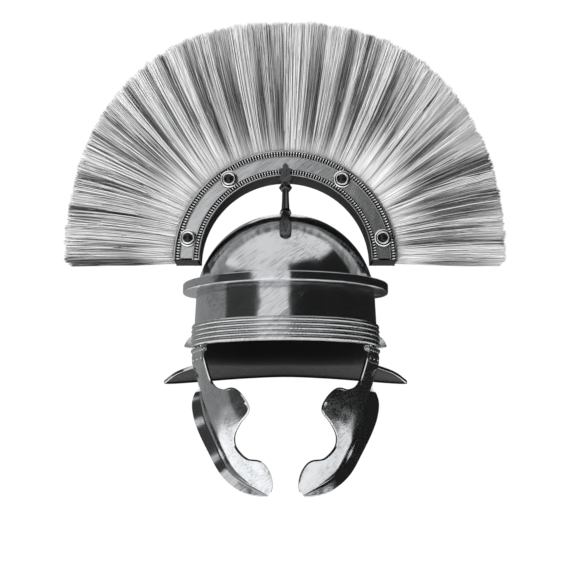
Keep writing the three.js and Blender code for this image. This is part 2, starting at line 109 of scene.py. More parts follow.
class HELMET_PG_bowl(bpy.types.PropertyGroup):
    half_width: length("Half width", "Half the bowl's width at the spring of the dome", 98)
    front: length("Front", "From the middle of the opening to the brow", 112)
    back: length("Back", "From the middle of the opening to the nape", 116)
    spring_up: length("Spring height", "Height at which the wall turns into the dome", 50)
    rise: length("Dome rise", "Height of the dome above its spring", 97.5)
    flare: length("Flare", "How far the wall spreads at the rim", 2.5)
    sheet: length("Sheet", "Thickness of the iron", 1.6)
    guard_lip: length("Guard edge", "Depth of the neck guard's turned-down edge", 3.5)
    ear_start: degrees_of("Ear cut-out start", "Azimuth where the ear cut-out starts", 92.9)
    ear_end: degrees_of("Ear cut-out end", "Azimuth where the ear cut-out ends", 111.8)
    ear_crown: length("Ear arch", "Height of the ear arch over its chord", 18)
    ear_foot: length("Ear foot", "How much lower the arch ends behind the ear", 12)
    nape_rise: length("Nape rise", "How far the nape line climbs to the middle of the back", 4)


class HELMET_PG_brow(bpy.types.PropertyGroup):
    bar_under: length("Bar underside", "Height of the brow bar's underside", 58)
    bar_over: length("Bar top", "Height of the brow bar's upper edge", 67)
    bar_shelf: length("Bar shelf", "Thickness of the brow bar's shelf", 2.2)
    bar_lip: length("Bar lip", "Thickness of the brow bar's lip", 2.4)
    bar_front: length("Front reach", "How far the bar stands off the bowl in front", 22)
    bar_side: length("Side reach", "How far the bar stands off the bowl at the temples", 13)
    band_height: length("Band height", "Height of the reeded band", 24)
    band_ribs: IntProperty(name="Ribs", description="Number of ribs on the reeded band", default=5, min=1)
    band_valley: length("Valley", "Band surface between two ribs, off the bowl", 1.3)
    band_crown: length("Crown", "Top of a rib, off the bowl", 2.8)
    band_reach: degrees_of("Band reach", "Azimuth at which the reeded band ends", 86)
    ear_reach: length("Ear guard reach", "How far the ear guard stands out over the ear", 8)
    ear_flare: length("Ear guard flare", "How much further its two feet stand out", 4)


class HELMET_PG_cheek(bpy.types.PropertyGroup):
    sheet: length("Sheet", "Thickness of the cheek pieces", 1.6)
    lip: length("Front lip", "Width of the lip along the front edge", 2.6)
    flange_turn: degrees_of("Flange turn", "Angle between panel and rear flange", 60)
    top_drop: length("Top edge", "Depth of the top edge below the rim", 8)
    flat_until: length("Flat part", "Depth below the rim at which the flat part has ended", 45)


class HELMET_PG_crest(bpy.types.PropertyGroup):
    centre_up: length("Arch centre", "Height of the arch's centre over the rim", 94.5)
    inner: length("Inner radius", "Radius of the crest box's underside", 93.5)
    outer: length("Outer radius", "Radius of the crest box's mouth", 122)
    half_depth: length("Half depth", "Half the crest box's depth, front to back", 22)
    wall: length("Wall", "Thickness of the crest box's sheet", 2.2)
    border: length("Border", "Width of the raised borders", 8)
    relief: length("Relief", "Height of the raised borders", 1.2)
    tick_pitch: length("Milling pitch", "Distance between two milled ridges, coarser than real so that they show", 3.0)
    boss_ring: length("Boss ring", "Radius of the ring on which the bosses sit", 108.5)
    boss_outer: length("Boss radius", "Outer radius of a boss", 9.6)


class HELMET_PG_hair(bpy.types.PropertyGroup):
    half_width: length("Half width", "Half the crest's width", 240.5)
    height: length("Height", "Height of the crest over the arch's centre", 270)
    fullness: FloatProperty(name="Fullness", description="Squareness of the crest's outline, 2 is an ellipse",
                            default=2.3)
    locks: IntProperty(name="Locks", description="Number of locks round the crest", default=150, min=8)
    strands: IntProperty(name="Hairs", description="Number of drawn hairs in each of the four bundles",
                         default=6400, min=100)
    root_depth: length("Root depth", "Half the depth of the hair in the box", 18)
    tip_depth: length("Tip depth", "Half the depth of the hair at its tips", 24.5)
    thickness: length("Hair thickness", "Radius of a drawn hair, coarser than real so that it shows", 0.43)


class HELMET_PG_finish(bpy.types.PropertyGroup):
    iron: colour("Polished iron", "Bright polished iron", "#C9CBCD")
    iron_dull: colour("Dull iron", "Iron where the polish has dulled", "#606265")
    tin: colour("Tinned metal", "Tinned fittings", "#BCBDBE")
    tin_dull: colour("Dull tin", "Tinned fittings where the tin is thin", "#5B5D5F")
    # Lighter tin for the raised rings and ridges: a painted highlight.
    tin_bright: colour("Bright tin", "Raised rings and ridges", "#ECEDED")
    # Darkest tone of the fork's dark tin.
    tin_worn: colour("Worn tin", "Dark bronze where the tin has worn through", "#232425")
    # Besides the unpolished inside, this colour is painted shade: inside the bowl, under the neck guard, on the crest
    # box's underside, end faces and channels, and in the bosses' grooves.
    blackened: colour("Blackened iron", "Unpolished iron inside the bowl and in recesses", "#151517")
    enamel: colour("Black enamel", "Studs", "#060607")
    hair_light: colour("Light hair", "Lightest hairs", "#ECECEC")
    hair_dark: colour("Dark hair", "Darkest hairs", "#0E0E0E")


class HELMET_PG_studio(bpy.types.PropertyGroup):
    floor_drop: length("Floor depth", "Distance of the floor below the rim", 400)
    camera_distance: length("Camera distance", "From the camera to the point it looks at", 1300)
    camera_elevation: FloatProperty(name="Camera elevation", description="Height angle of the camera",
                                    default=math.radians(-7.5), subtype="ANGLE")
    target_up: length("Target height", "Height of the point the camera looks at", 70)
    lens: FloatProperty(name="Lens", description="Focal length in millimetres on a 36 mm sensor", default=74.64)


class HELMET_PG_all(bpy.types.PropertyGroup):
    bowl: PointerProperty(type=HELMET_PG_bowl)
    brow: PointerProperty(type=HELMET_PG_brow)
    cheek: PointerProperty(type=HELMET_PG_cheek)
    crest: PointerProperty(type=HELMET_PG_crest)
    hair: PointerProperty(type=HELMET_PG_hair)
    finish: PointerProperty(type=HELMET_PG_finish)
    studio: PointerProperty(type=HELMET_PG_studio)


# Shapes -----------------------------------------------------------------------------------

def unit(vectors):
    return vectors / np.maximum(np.linalg.norm(vectors, axis=-1, keepdims=True), 1e-12)


def mix(a, b, t):
    return a + (b - a) * t


def smoothstep(value, low, high):
    t = np.clip((value - low) / (high - low), 0, 1)
    return t * t * (3 - 2 * t)


def smooth_through(values, t):
    """A smooth curve through rows of numbers, read at t from 0 to 1."""
    v = np.asarray(values, float)
    n = len(v) - 1
    s = np.clip(np.asarray(t, float) * n, 0, n)
    i = np.minimum(s.astype(int), n - 1)
    f = (s - i)[:, None]
    padded = np.vstack([2 * v[0] - v[1], v, 2 * v[-1] - v[-2]])
    a, b, c, d = (padded[i + k] for k in range(4))
    square, cube = a - 2.5 * b + 2 * c - 0.5 * d, 1.5 * (b - c) + 0.5 * (d - a)
    return b + 0.5 * (c - a) * f + square * f ** 2 + cube * f ** 3


def new_object(name, points, faces, welded=False):
    """A mesh object from points in metres and faces, shaded smooth."""
    mesh = bpy.data.meshes.new(name)
    mesh.from_pydata([tuple(p) for p in points], [], [tuple(f) for f in faces])
    if welded:
        bm = bmesh.new()
        bm.from_mesh(mesh)
        bmesh.ops.remove_doubles(bm, verts=bm.verts, dist=1e-6)
        bmesh.ops.dissolve_degenerate(bm, edges=bm.edges, dist=1e-7)
        bm.to_mesh(mesh)
        bm.free()
    mesh.validate()
    mesh.polygons.foreach_set("use_smooth", [True] * len(mesh.polygons))
    obj = bpy.data.objects.new(name, mesh)
    bpy.context.scene.collection.objects.link(obj)
    return obj


def grid_faces(rows, columns, close_rows=False, close_columns=False):
    """Quads of a grid whose rows and columns may join up."""
    i, j = np.meshgrid(np.arange(rows - (not close_rows)), np.arange(columns - (not close_columns)), indexing="ij")
    i, j = i.ravel(), j.ravel()
    i2, j2 = (i + 1) % rows, (j + 1) % columns
    return np.stack([i * columns + j, i2 * columns + j, i2 * columns + j2, i * columns + j2], 1).tolist()


def faced(points, faces, away_from):
    """The faces, turned so that they look away from a point."""
    p = np.asarray(points)
    quads = np.array([f[:4] if len(f) > 3 else list(f) + [f[-1]] for f in faces])
    a, b, c = p[quads[:, 0]], p[quads[:, 1]], p[quads[:, 2]]
    out = (np.cross(b - a, c - a) * (a - np.asarray(away_from))).sum()
    return faces if out > 0 else [f[::-1] for f in faces]


def sheet_object(name, grid, thickness, away_from, closed=False, even=True):
    """Sheet metal whose outer face is a grid of points, thickened inwards."""
    rows, columns = grid.shape[:2]
    points = grid.reshape(-1, 3)
    faces = faced(points, grid_faces(rows, columns, close_rows=closed), away_from)
    obj = new_object(name, points, faces, welded=True)
    solid = obj.modifiers.new("Sheet", "SOLIDIFY")
    solid.thickness = thickness
    solid.offset = -1
    solid.use_even_offset = even
    return obj


def soften(obj, millimetres, segments=2, angle=35):
    """Rounds an object's sharp edges."""
    bevel = obj.modifiers.new("Edge", "BEVEL")
    bevel.width = millimetres * MM
    bevel.segments = segments
    bevel.limit_method = "ANGLE"
    bevel.angle_limit = math.radians(angle)
    bevel.harden_normals = True
    return obj


def made(name, part, edge=0):
    """An object from a part's points in millimetres and its faces, with its edges rounded by so many millimetres."""
    points, faces = part
    obj = new_object(name, points * MM, faces)
    return soften(obj, edge) if edge else obj


def sweep(stations):
    """Points and faces of a closed section carried through stations, capped at both ends."""
    stations = np.asarray(stations)
    n, m = stations.shape[:2]
    faces = grid_faces(n, m, close_columns=True)
    faces += [tuple(range(m))[::-1], tuple((n - 1) * m + j for j in range(m))]
    points = stations.reshape(-1, 3)
    volume = 0.0
    for f in faces:
        p = points[list(f)]
        for k in range(1, len(f) - 1):
            volume += np.dot(p[0], np.cross(p[k], p[k + 1]))
    return points, faces if volume > 0 else [tuple(f)[::-1] for f in faces]


def joined(parts):
    """Several (points, faces) as one."""
    points, faces, start = [], [], 0
    for p, f in parts:
        points.append(np.asarray(p))
        faces += [tuple(i + start for i in face) for face in f]
        start += len(p)
    return np.vstack(points), faces


def block(low, high):
    """A box between two corners."""
    (x0, y0, z0), (x1, y1, z1) = low, high
    ring = [(x0, y0), (x1, y0), (x1, y1), (x0, y1)]
    return sweep([[(x, y, z) for x, y in ring] for z in (z0, z1)])


def lathe(profile, sides=48):
    """A closed profile of (radius, height) turned about Z."""
    turns = np.linspace(0, 2 * np.pi, sides, endpoint=False)
    p = np.array(profile, float)
    grid = np.stack([np.stack([p[:, 0] * np.cos(t), p[:, 0] * np.sin(t), p[:, 1]], 1) for t in turns])
    points = grid.reshape(-1, 3)
    faces = grid_faces(sides, len(p), close_rows=True, close_columns=True)
    return points, faced(points, faces, (0, 0, p[:, 1].mean()))


def placed(part, origin, x_axis, y_axis, z_axis):
    """A part moved so that its axes lie along three directions."""
    points, faces = part
    turn = np.stack([x_axis, y_axis, z_axis])
    flipped = np.linalg.det(turn) < 0
    return points @ turn + origin, [f[::-1] for f in faces] if flipped else faces


def mirrored(part):
    """The right-hand copy of a left-hand part."""
    points, faces = part
    return points * [-1, 1, 1], [tuple(f)[::-1] for f in faces]


def handed(part, side):
    return part if side > 0 else mirrored(part)


def rivet(at, normal, radius=2.1, height=1.1):
    """A domed rivet head on a surface, in millimetres."""
    z = unit(np.asarray(normal, float))
    x = unit(np.cross(z, [0.3, 0.1, 1.0]))
    tilts = np.radians([0, 25, 50, 75, 90])
    profile = [(radius * math.sin(t), height * math.cos(t)) for t in tilts] + [(radius, -0.5), (0, -0.5)]
    return placed(lathe(profile, 16), np.asarray(at, float), x, np.cross(z, x), z)


def in_body(obj, body, nodes=(), material=None, inside=None):
    """Puts a finished piece in the helmet: its finish, the body that it rides on, and what it replaces."""
    obj.data.materials.append(material)
    if inside:
        obj.data.materials.append(inside)
        for solid in (m for m in obj.modifiers if m.type == "SOLIDIFY"):
            solid.material_offset = 1
    if nodes:
        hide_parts(*nodes)
    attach(obj, body)
    return obj


def on_bowl(b, azimuth, up, offset=0.0):
    """Points on the bowl's outer face, in millimetres. Azimuth 0 is the front and 90 the wearer's left."""
    a = np.radians(np.asarray(azimuth, float))
    up = np.broadcast_to(np.asarray(up, float), a.shape)
    spring, rise = b.spring_up / MM, b.rise / MM
    spread = b.flare / MM * np.maximum(0, spring - up) / spring
    wide = b.half_width / MM + spread
    deep = np.where(np.cos(a) > 0, b.front, b.back) / MM + spread
    above = np.maximum(0, up - spring) / rise
    k = np.sqrt(np.maximum(0, 1 - above ** 2))
    p = np.stack([wide * k * np.sin(a), -deep * k * np.cos(a), up], -1)
    n = unit(np.stack([p[..., 0] / wide ** 2, p[..., 1] / deep ** 2, above / rise], -1))
    return p + n * np.asarray(offset)[..., None]


def rim_up(b, azimuth):
    """Height of the bowl's lower edge: level in front, arched over the ear, and low at the nape."""
    a = np.abs(azimuth)
    t = (a - b.ear_start) / (b.ear_end - b.ear_start)
    s = np.clip(t, 0, 1)
    arch = b.ear_crown / MM * np.sin(np.pi * s) - b.ear_foot / MM * s
    nape = (-b.ear_foot + b.nape_rise * (a - b.ear_end) / (180 - b.ear_end)) / MM
    return np.where(t <= 0, 0, np.where(t <= 1, arch, nape))


def guard_outline(b, share):
    """The neck guard's edge from behind the left ear to behind the right ear, share from 0 to 1."""
    foot = on_bowl(b, [b.ear_end, -b.ear_end], -b.ear_foot / MM)
    left = [tuple(foot[0])] + NECK_GUARD
    right = [(-x, y, z) for x, y, z in NECK_GUARD[-2::-1]] + [tuple(foot[1])]
    return smooth_through(left + right, share)


def bowl_grid(b):
    """The bowl's outer face, from the crown down each side and out over the neck guard."""
    front = np.linspace(0, b.ear_start, 64)
    ear = np.linspace(b.ear_start, b.ear_end, 25)[1:]
    back = np.linspace(b.ear_end, 180, 64)[1:]
    half = np.concatenate([front, ear, back])
    azimuth = np.concatenate([half, -half[-2:0:-1]])
    spring, rise, low = b.spring_up / MM, b.rise / MM, rim_up(b, azimuth)
    rows = [on_bowl(b, azimuth, spring + rise * math.cos(t)) for t in np.radians(np.linspace(0, 90, 34))]
    behind = np.clip((np.abs(azimuth) - b.ear_end) / (180 - b.ear_end), 0, 1)
    share = behind ** 0.85 / 2
    root = on_bowl(b, azimuth, low)
    edge = guard_outline(b, np.where(azimuth >= 0, share, 1 - share))
    edge[behind <= 0] = root[behind <= 0]

    def out_along(share):
        """Points on the neck guard, which dips a little before it reaches its edge."""
        p = mix(root, edge, share)
        p[:, 2] = mix(root[:, 2], edge[:, 2], share[:, 0] ** 1.2)
        return p

    width = np.linalg.norm(edge - root, axis=1)
    turn = np.minimum(9.0, width * 0.4)  # the bend between wall and neck guard
    above = low + turn
    for t in np.linspace(0, 1, 12)[1:]:
        rows.append(on_bowl(b, azimuth, mix(spring, above, t)))
    start = rows[-1]
    out = unit(np.where(width[:, None] > 1e-6, edge - root, 1.0))
    reach = (turn / np.maximum(width, 1e-6))[:, None]
    end = out_along(reach)
    for t in np.linspace(0, 1, 7)[1:]:
        rows.append((1 - t) ** 2 * start + 2 * t * (1 - t) * root + t * t * end)
    for t in np.linspace(0, 1, 16)[1:]:
        rows.append(out_along(reach + (1 - reach) * t))
    flat = unit(out * [1, 1, 0]) * (behind > 0)[:, None]
    fade = np.minimum(1, width / 6)  # the turned-down edge dies out where the guard is narrow
    lip = b.guard_lip / MM * fade
    for t in np.radians([30, 60, 90]):
        rows.append(edge + flat * 0.8 * math.sin(t) - np.outer(1.4 * (1 - math.cos(t)) * fade, [0, 0, 1]))
    rows.append(edge + flat * 0.8 - np.outer(lip, [0, 0, 1]))
    return np.stack(rows, 1) * MM


def band_sections(b, azimuths, section):
    """A section of (offset, height) carried round the bowl."""
    return np.stack([np.stack([np.append(on_bowl(b, a, level if level is not None else up, off)[:2], up)
                               for off, up, level in section(a)]) for a in azimuths])


def brow_band(b, w):
    """Reeded band along the front rim."""
    height, ribs = w.band_height / MM, w.band_ribs
    valley, crown = w.band_valley / MM, w.band_crown / MM
    pitch = height / ribs
    outline = [(GAP, 0.3, None)]
    for i in range(ribs):
        for t in np.linspace(0, 1, 9)[:-1]:
            lift = math.sin(math.pi * t) ** 0.7
            outline.append((mix(valley, crown, lift), 0.3 + pitch * (i + t), None))
    outline += [(valley, 0.3 + height, None), (GAP, 0.3 + height, None)]
    return sweep(band_sections(b, np.linspace(-w.band_reach, w.band_reach, 181), lambda a: outline))


def brow_bar(b, w):
    """Projecting bar over the brow: a shelf with an upturned lip and rounded ends."""
    under, over = w.bar_under / MM, w.bar_over / MM
    shelf, lip = w.bar_shelf / MM, w.bar_lip / MM

    def section(azimuth):
        a = abs(azimuth)
        side = min(1, a / 90)
        reach = mix(w.bar_front / MM, w.bar_side / MM, side * side) - max(0, a - 90) * 0.3
        end = max(0.0, (a - 93.0) / 9.0)
        reach = mix(lip + 1.2, reach, math.sqrt(max(0.0, 1 - end ** 2)))
        rise = mix(shelf + 1.0, over - under, math.sqrt(max(0.0, 1 - 0.8 * end ** 2)))
        flat = [(GAP, 0), (reach - 0.7, 0), (reach - 0.2, 0.2), (reach, 0.7), (reach, rise - 0.6), (reach - 0.5, rise),
                (reach - lip + 0.5, rise), (reach - lip, rise - 0.6), (reach - lip, shelf + 1.1),
                (reach - lip - 1.1, shelf), (GAP, shelf)]
        return [(o, under + h, under) for o, h in flat]

    azimuths = np.concatenate([np.linspace(-BAR_END, -BAR_TAPER, 14), np.linspace(-BAR_TAPER, BAR_TAPER, 150)[1:-1],
                               np.linspace(BAR_TAPER, BAR_END, 14)])
    return sweep(band_sections(b, azimuths, section))


def ear_guard(b, w):
    """Shelf that arches over the left ear, with a flange that lies on the bowl."""
    stations = []
    for t in np.linspace(0, 1, 49):
        azimuth = [mix(b.ear_start, b.ear_end, s) for s in (t, max(0, t - 0.02), min(1, t + 0.02))]
        at, before, after = on_bowl(b, azimuth, rim_up(b, np.array(azimuth)))
        out = on_bowl(b, azimuth[0], 0, 1) - on_bowl(b, azimuth[0], 0)
        away = unit(np.cross(out, after - before))
        reach = w.ear_reach / MM + w.ear_flare / MM * abs(2 * t - 1) ** 1.5
        corner = max(0.0, (abs(2 * t - 1) - 0.86) / 0.14)
        reach = mix(3.5, reach, math.sqrt(max(0.0, 1 - corner ** 2)))
        flat = [(GAP, 0.5), (reach - 0.4, 0.5), (reach, 0.9), (reach, 1.5), (reach - 0.4, 1.9), (GAP + 2.4, 1.8),
                (GAP + 1.6, 2.1), (GAP + 1.3, 2.9), (GAP + 1.3, 5.7), (GAP + 1.0, 6), (GAP, 6)]
        stations.append([at + out * o + away * h for o, h in flat])
    return sweep(stations)


def face_point(c, turn, drop):
    """The face below the rim: an ellipse that narrows towards the chin, in millimetres."""
    low = np.maximum(0, drop) / 160
    wide, deep = 96.5 - 50.7 * low ** 2.07, 100 - 8 * low
    x, y = wide * np.sin(np.radians(turn)), -deep * np.cos(np.radians(turn))
    on_hinge = HINGE_AT[0] + (y - HINGE_AT[1]) * HINGE_ALONG[0] / HINGE_ALONG[1]
    flat = 1 - smoothstep(drop, c.top_drop / MM, c.flat_until / MM)
    return np.stack([mix(x, on_hinge, flat), y, -drop + 0 * x], -1)


def eased(rows, reach):
    """Rows of points, each averaged with its neighbours."""
    padded = np.pad(rows, ((reach, reach), (0, 0)), mode="edge")
    return sum(padded[i:i + len(rows)] for i in range(2 * reach + 1)) / (2 * reach + 1)


def cheek_grid(c, rows=150, across=26):
    """The outer face of the left cheek piece: rear flange, panel and front lip."""
    table = smooth_through(CHEEK_SECTIONS, np.linspace(0, 1, rows))
    rear_turn, rear_drop, front_turn, front_drop, flange = table.T

    def panel(s):
        return face_point(c, mix(rear_turn, front_turn, s), mix(rear_drop, front_drop, s))

    def normal(s):
        turn, drop = mix(rear_turn, front_turn, s), mix(rear_drop, front_drop, s)
        around = face_point(c, turn - 1, drop) - face_point(c, turn + 1, drop)
        down = face_point(c, turn, drop + 1) - face_point(c, turn, drop - 1)
        return unit(np.cross(around, down))

    def bent(s, inner, degrees, width, steps, soft):
        """Rows of an edge that turns out of the panel through a soft bend."""
        away, out = unit(eased(panel(s) - panel(inner), 5)), normal(s)
        at, lines = panel(s), []
        angles = np.radians(np.linspace(0, degrees, soft + 1)[1:])
        for k in range(steps):
            angle = angles[min(k, soft - 1)]
            at = at + (away * math.cos(angle) + out * math.sin(angle)) * width[:, None] / steps
            lines.append(at)
        return lines

    lines = bent(0, 0.06, c.flange_turn * 1.06, np.maximum(0.4, flange), 9, 3)[::-1]
    lines += [panel(s) for s in np.linspace(0, 1, across)]
    lines += bent(1, 0.94, 68, np.full(rows, c.lip / MM), 4, 2)
    return np.stack(lines, 1) * MM


def hinge_leaf(own, plate):
    """A leaf with its rolled knuckles, in the hinge's own frame: X outwards, Y along the pin, Z up."""
    segment = HINGE["length"] / HINGE["knuckles"]
    parts = [plate]
    for i in own:
        low = i * segment - HINGE["length"] / 2 + GAP / 2
        ends = [low, low + 0.4, low + segment - GAP - 0.4, low + segment - GAP]
        rings = []
        for y, trim in zip(ends, (0.35, 0, 0, 0.35)):
            turns = np.linspace(0, 2 * np.pi, 28, endpoint=False)
            radii = HINGE["knuckle"] - trim, HINGE["bore"]
            rings.append([[(radius * math.cos(t), y, radius * math.sin(t)) for radius in radii] for t in turns])
        r = np.array(rings)
        outline = np.concatenate([r[:, :, 0], r[::-1, :, 1]])  # out along the outside, back through the bore
        points = outline.reshape(-1, 3)
        faces = grid_faces(len(outline), 28, close_rows=True, close_columns=True)
        parts.append((points, faced(points, faces, (0, low + segment / 2, 0))))
    return joined(parts)


def in_hinge_frame(part):
    """A part from the hinge's frame to the helmet's, left side."""
    along, up = HINGE_ALONG, np.array([0, 0, 1.0])
    return placed(part, HINGE_AT, np.cross(along, up), along, up)


def lower_leaf():
    """The leaf on the cheek piece, with two knuckles and three rivet heads."""
    half = HINGE["length"] / 2
    plate = block((GAP, -half + 4, -HINGE["drop"]), (GAP + HINGE["leaf"], half - 2, -2.0))
    tongues = []
    segment = HINGE["length"] / HINGE["knuckles"]
    for i in (1, 3):
        low = i * segment - half + GAP / 2
        tongues.append(block((GAP, low, -2.6), (GAP + HINGE["leaf"], low + segment - GAP, -1.9)))
    heads = [rivet((GAP + HINGE["leaf"], y, -9.5), (1, 0, 0), 1.7, 0.9) for y in (-19, 1, 21)]
    return in_hinge_frame(hinge_leaf((1, 3), joined([plate] + tongues + heads)))


def upper_leaf(b):
    """The leaf bent to lie inside the bowl, with its three knuckles."""
    face = -b.sheet / MM - GAP
    back = face - HINGE["leaf"]
    parts = []
    for start, end, low in ((56.6, 86.4, 1.0), (56.6, 63.0, -3.0), (69.5, 75.0, -3.0), (81.4, 86.4, -3.0)):
        section = [(face, low, None), (face, HINGE["rise"], None), (back, HINGE["rise"], None), (back, low, None)]
        if low < 0:
            section = [(o, low if k in (0, 3) else 1.2, level) for k, (o, _, level) in enumerate(section)]
        parts.append(sweep(band_sections(b, np.linspace(start, end, 40 if low > 0 else 8), lambda a: section)))
    knuckles = in_hinge_frame(hinge_leaf((0, 2, 4), (np.zeros((0, 3)), [])))
    return joined(parts + [knuckles])


def hinge_pin():
    """The pin with its rounded ends."""
    half, r = HINGE["length"] / 2 + 0.6, HINGE["pin"]
    rings = [(-half - 0.9, 0.4), (-half - 0.6, 1.0), (-half, r), (half, r), (half + 0.6, 1.0), (half + 0.9, 0.4)]
    turns = np.linspace(0, 2 * np.pi, 20, endpoint=False)
    return in_hinge_frame(sweep([[(q * math.cos(t), y, q * math.sin(t)) for t in turns] for y, q in rings]))


# Crest ------------------------------------------------------------------------------------

def crest_section(k):
    """The crest box's section as (radius, depth): a trough with channelled borders."""
    inner, outer, deep = k.inner / MM, k.outer / MM, k.half_depth / MM
    border, face = k.border / MM, deep - k.relief / MM
    floor, inside = deep - 0.9, deep - k.relief / MM - k.wall / MM
    half = [(inner, deep - 0.4), (inner + 0.4, deep), (inner + 1.3, deep), (inner + 1.6, floor), (inner + 6.3, floor),
            (inner + 6.6, deep), (inner + border - 0.3, deep), (inner + border, deep - 0.3), (inner + border, face),
            (outer - border, face), (outer - border, deep - 0.3), (outer - border + 0.3, deep), (outer - 7.3, deep),
            (outer - 7.0, floor), (outer - 2.0, floor), (outer - 1.7, deep), (outer - 0.4, deep), (outer, deep - 0.4),
            (outer, inside), (inner + k.wall / MM, inside)]
    return [(r, -y) for r, y in half] + [(r, y) for r, y in half[::-1]]


def on_arch(k, radius, depth, turn):
    """A point of the crest: radius from the arch's centre, depth front to back, turn from the top."""
    up = k.centre_up / MM + radius * np.cos(turn)
    return np.stack([radius * np.sin(turn), depth + 0 * radius * turn, up], -1)


def crest_box(k):
    """The arched trough with its two closed ends."""
    section = np.array(crest_section(k))
    turns = np.radians(np.linspace(-90, 90, 181))
    body = sweep([on_arch(k, section[:, 0], section[:, 1], t) for t in turns])
    deep, inner, outer, wall = (v / MM for v in (k.half_depth - k.relief, k.inner, k.outer, k.wall))
    up = k.centre_up / MM
    ends = [block((min(s * inner, s * outer) + 0.6, -deep, up), (max(s * inner, s * outer) - 0.6, deep, up + wall))
            for s in (1, -1)]
    return joined([body] + ends)


def milling(k):
    """The milled ridges in both borders, front and back."""
    deep, parts = k.half_depth / MM, []
    for low, high in ((k.inner / MM + 1.7, k.inner / MM + 6.2), (k.outer / MM - 6.9, k.outer / MM - 2.1)):
        middle = (low + high) / 2
        count = int(round(math.pi * middle / (k.tick_pitch / MM)))
        for i in range(count):
            turn = -math.pi / 2 + math.pi * (i + 0.5) / count
            for face in (-1, 1):
                rings = []
                for r in (low, high):
                    half = 0.5 * k.tick_pitch / MM * 0.52 * (r / middle)
                    ridge = ((-1, half, deep - 1.0), (-1, half * 0.6, deep - 0.1),
                             (1, half * 0.6, deep - 0.1), (1, half, deep - 1.0))
                    rings.append([on_arch(k, r, face * d, turn + s * w / r) for s, w, d in ridge])
                parts.append(sweep(rings))
    return joined(parts)


def paint(obj, index, chosen):
    """Gives the faces whose centre (in millimetres) is chosen another of the object's materials."""
    for face in obj.data.polygons:
        if chosen(*(v / MM for v in face.center)):
            face.material_index = index


def boss_places(k):
    """The name and the place of each boss on the box's front."""
    for label, side in SIDES:
        for place, degrees in BOSS_TURNS:
            turn = side * math.radians(degrees)
            yield f"{place}_{label}", on_arch(k, k.boss_ring / MM, -(k.half_depth / MM + GAP), turn)


def boss_collar(k):
    """A boss's turned collar, with a groove round a raised ring."""
    outer = k.boss_outer / MM
    return lathe([(5.1, 0), (outer, 0), (outer, 0.9), (outer - 0.4, 1.3), (8.1, 1.5), (7.5, 1.5), (7.3, 2.2),
                  (7.1, 3.1), (6.7, 3.5), (6.2, 3.6), (5.6, 3.5), (5.2, 3.1), (5.1, 2.6)])


def boss_stud():
    """The domed stud in a boss."""
    r = 4.75
    dome = [(r * math.cos(t), 1.6 + 2.1 * math.sin(t)) for t in np.radians([0, 15, 30, 45, 60, 75])]
    return lathe([(0.0, 0), (r, 0)] + dome + [(0.0, 3.7)])


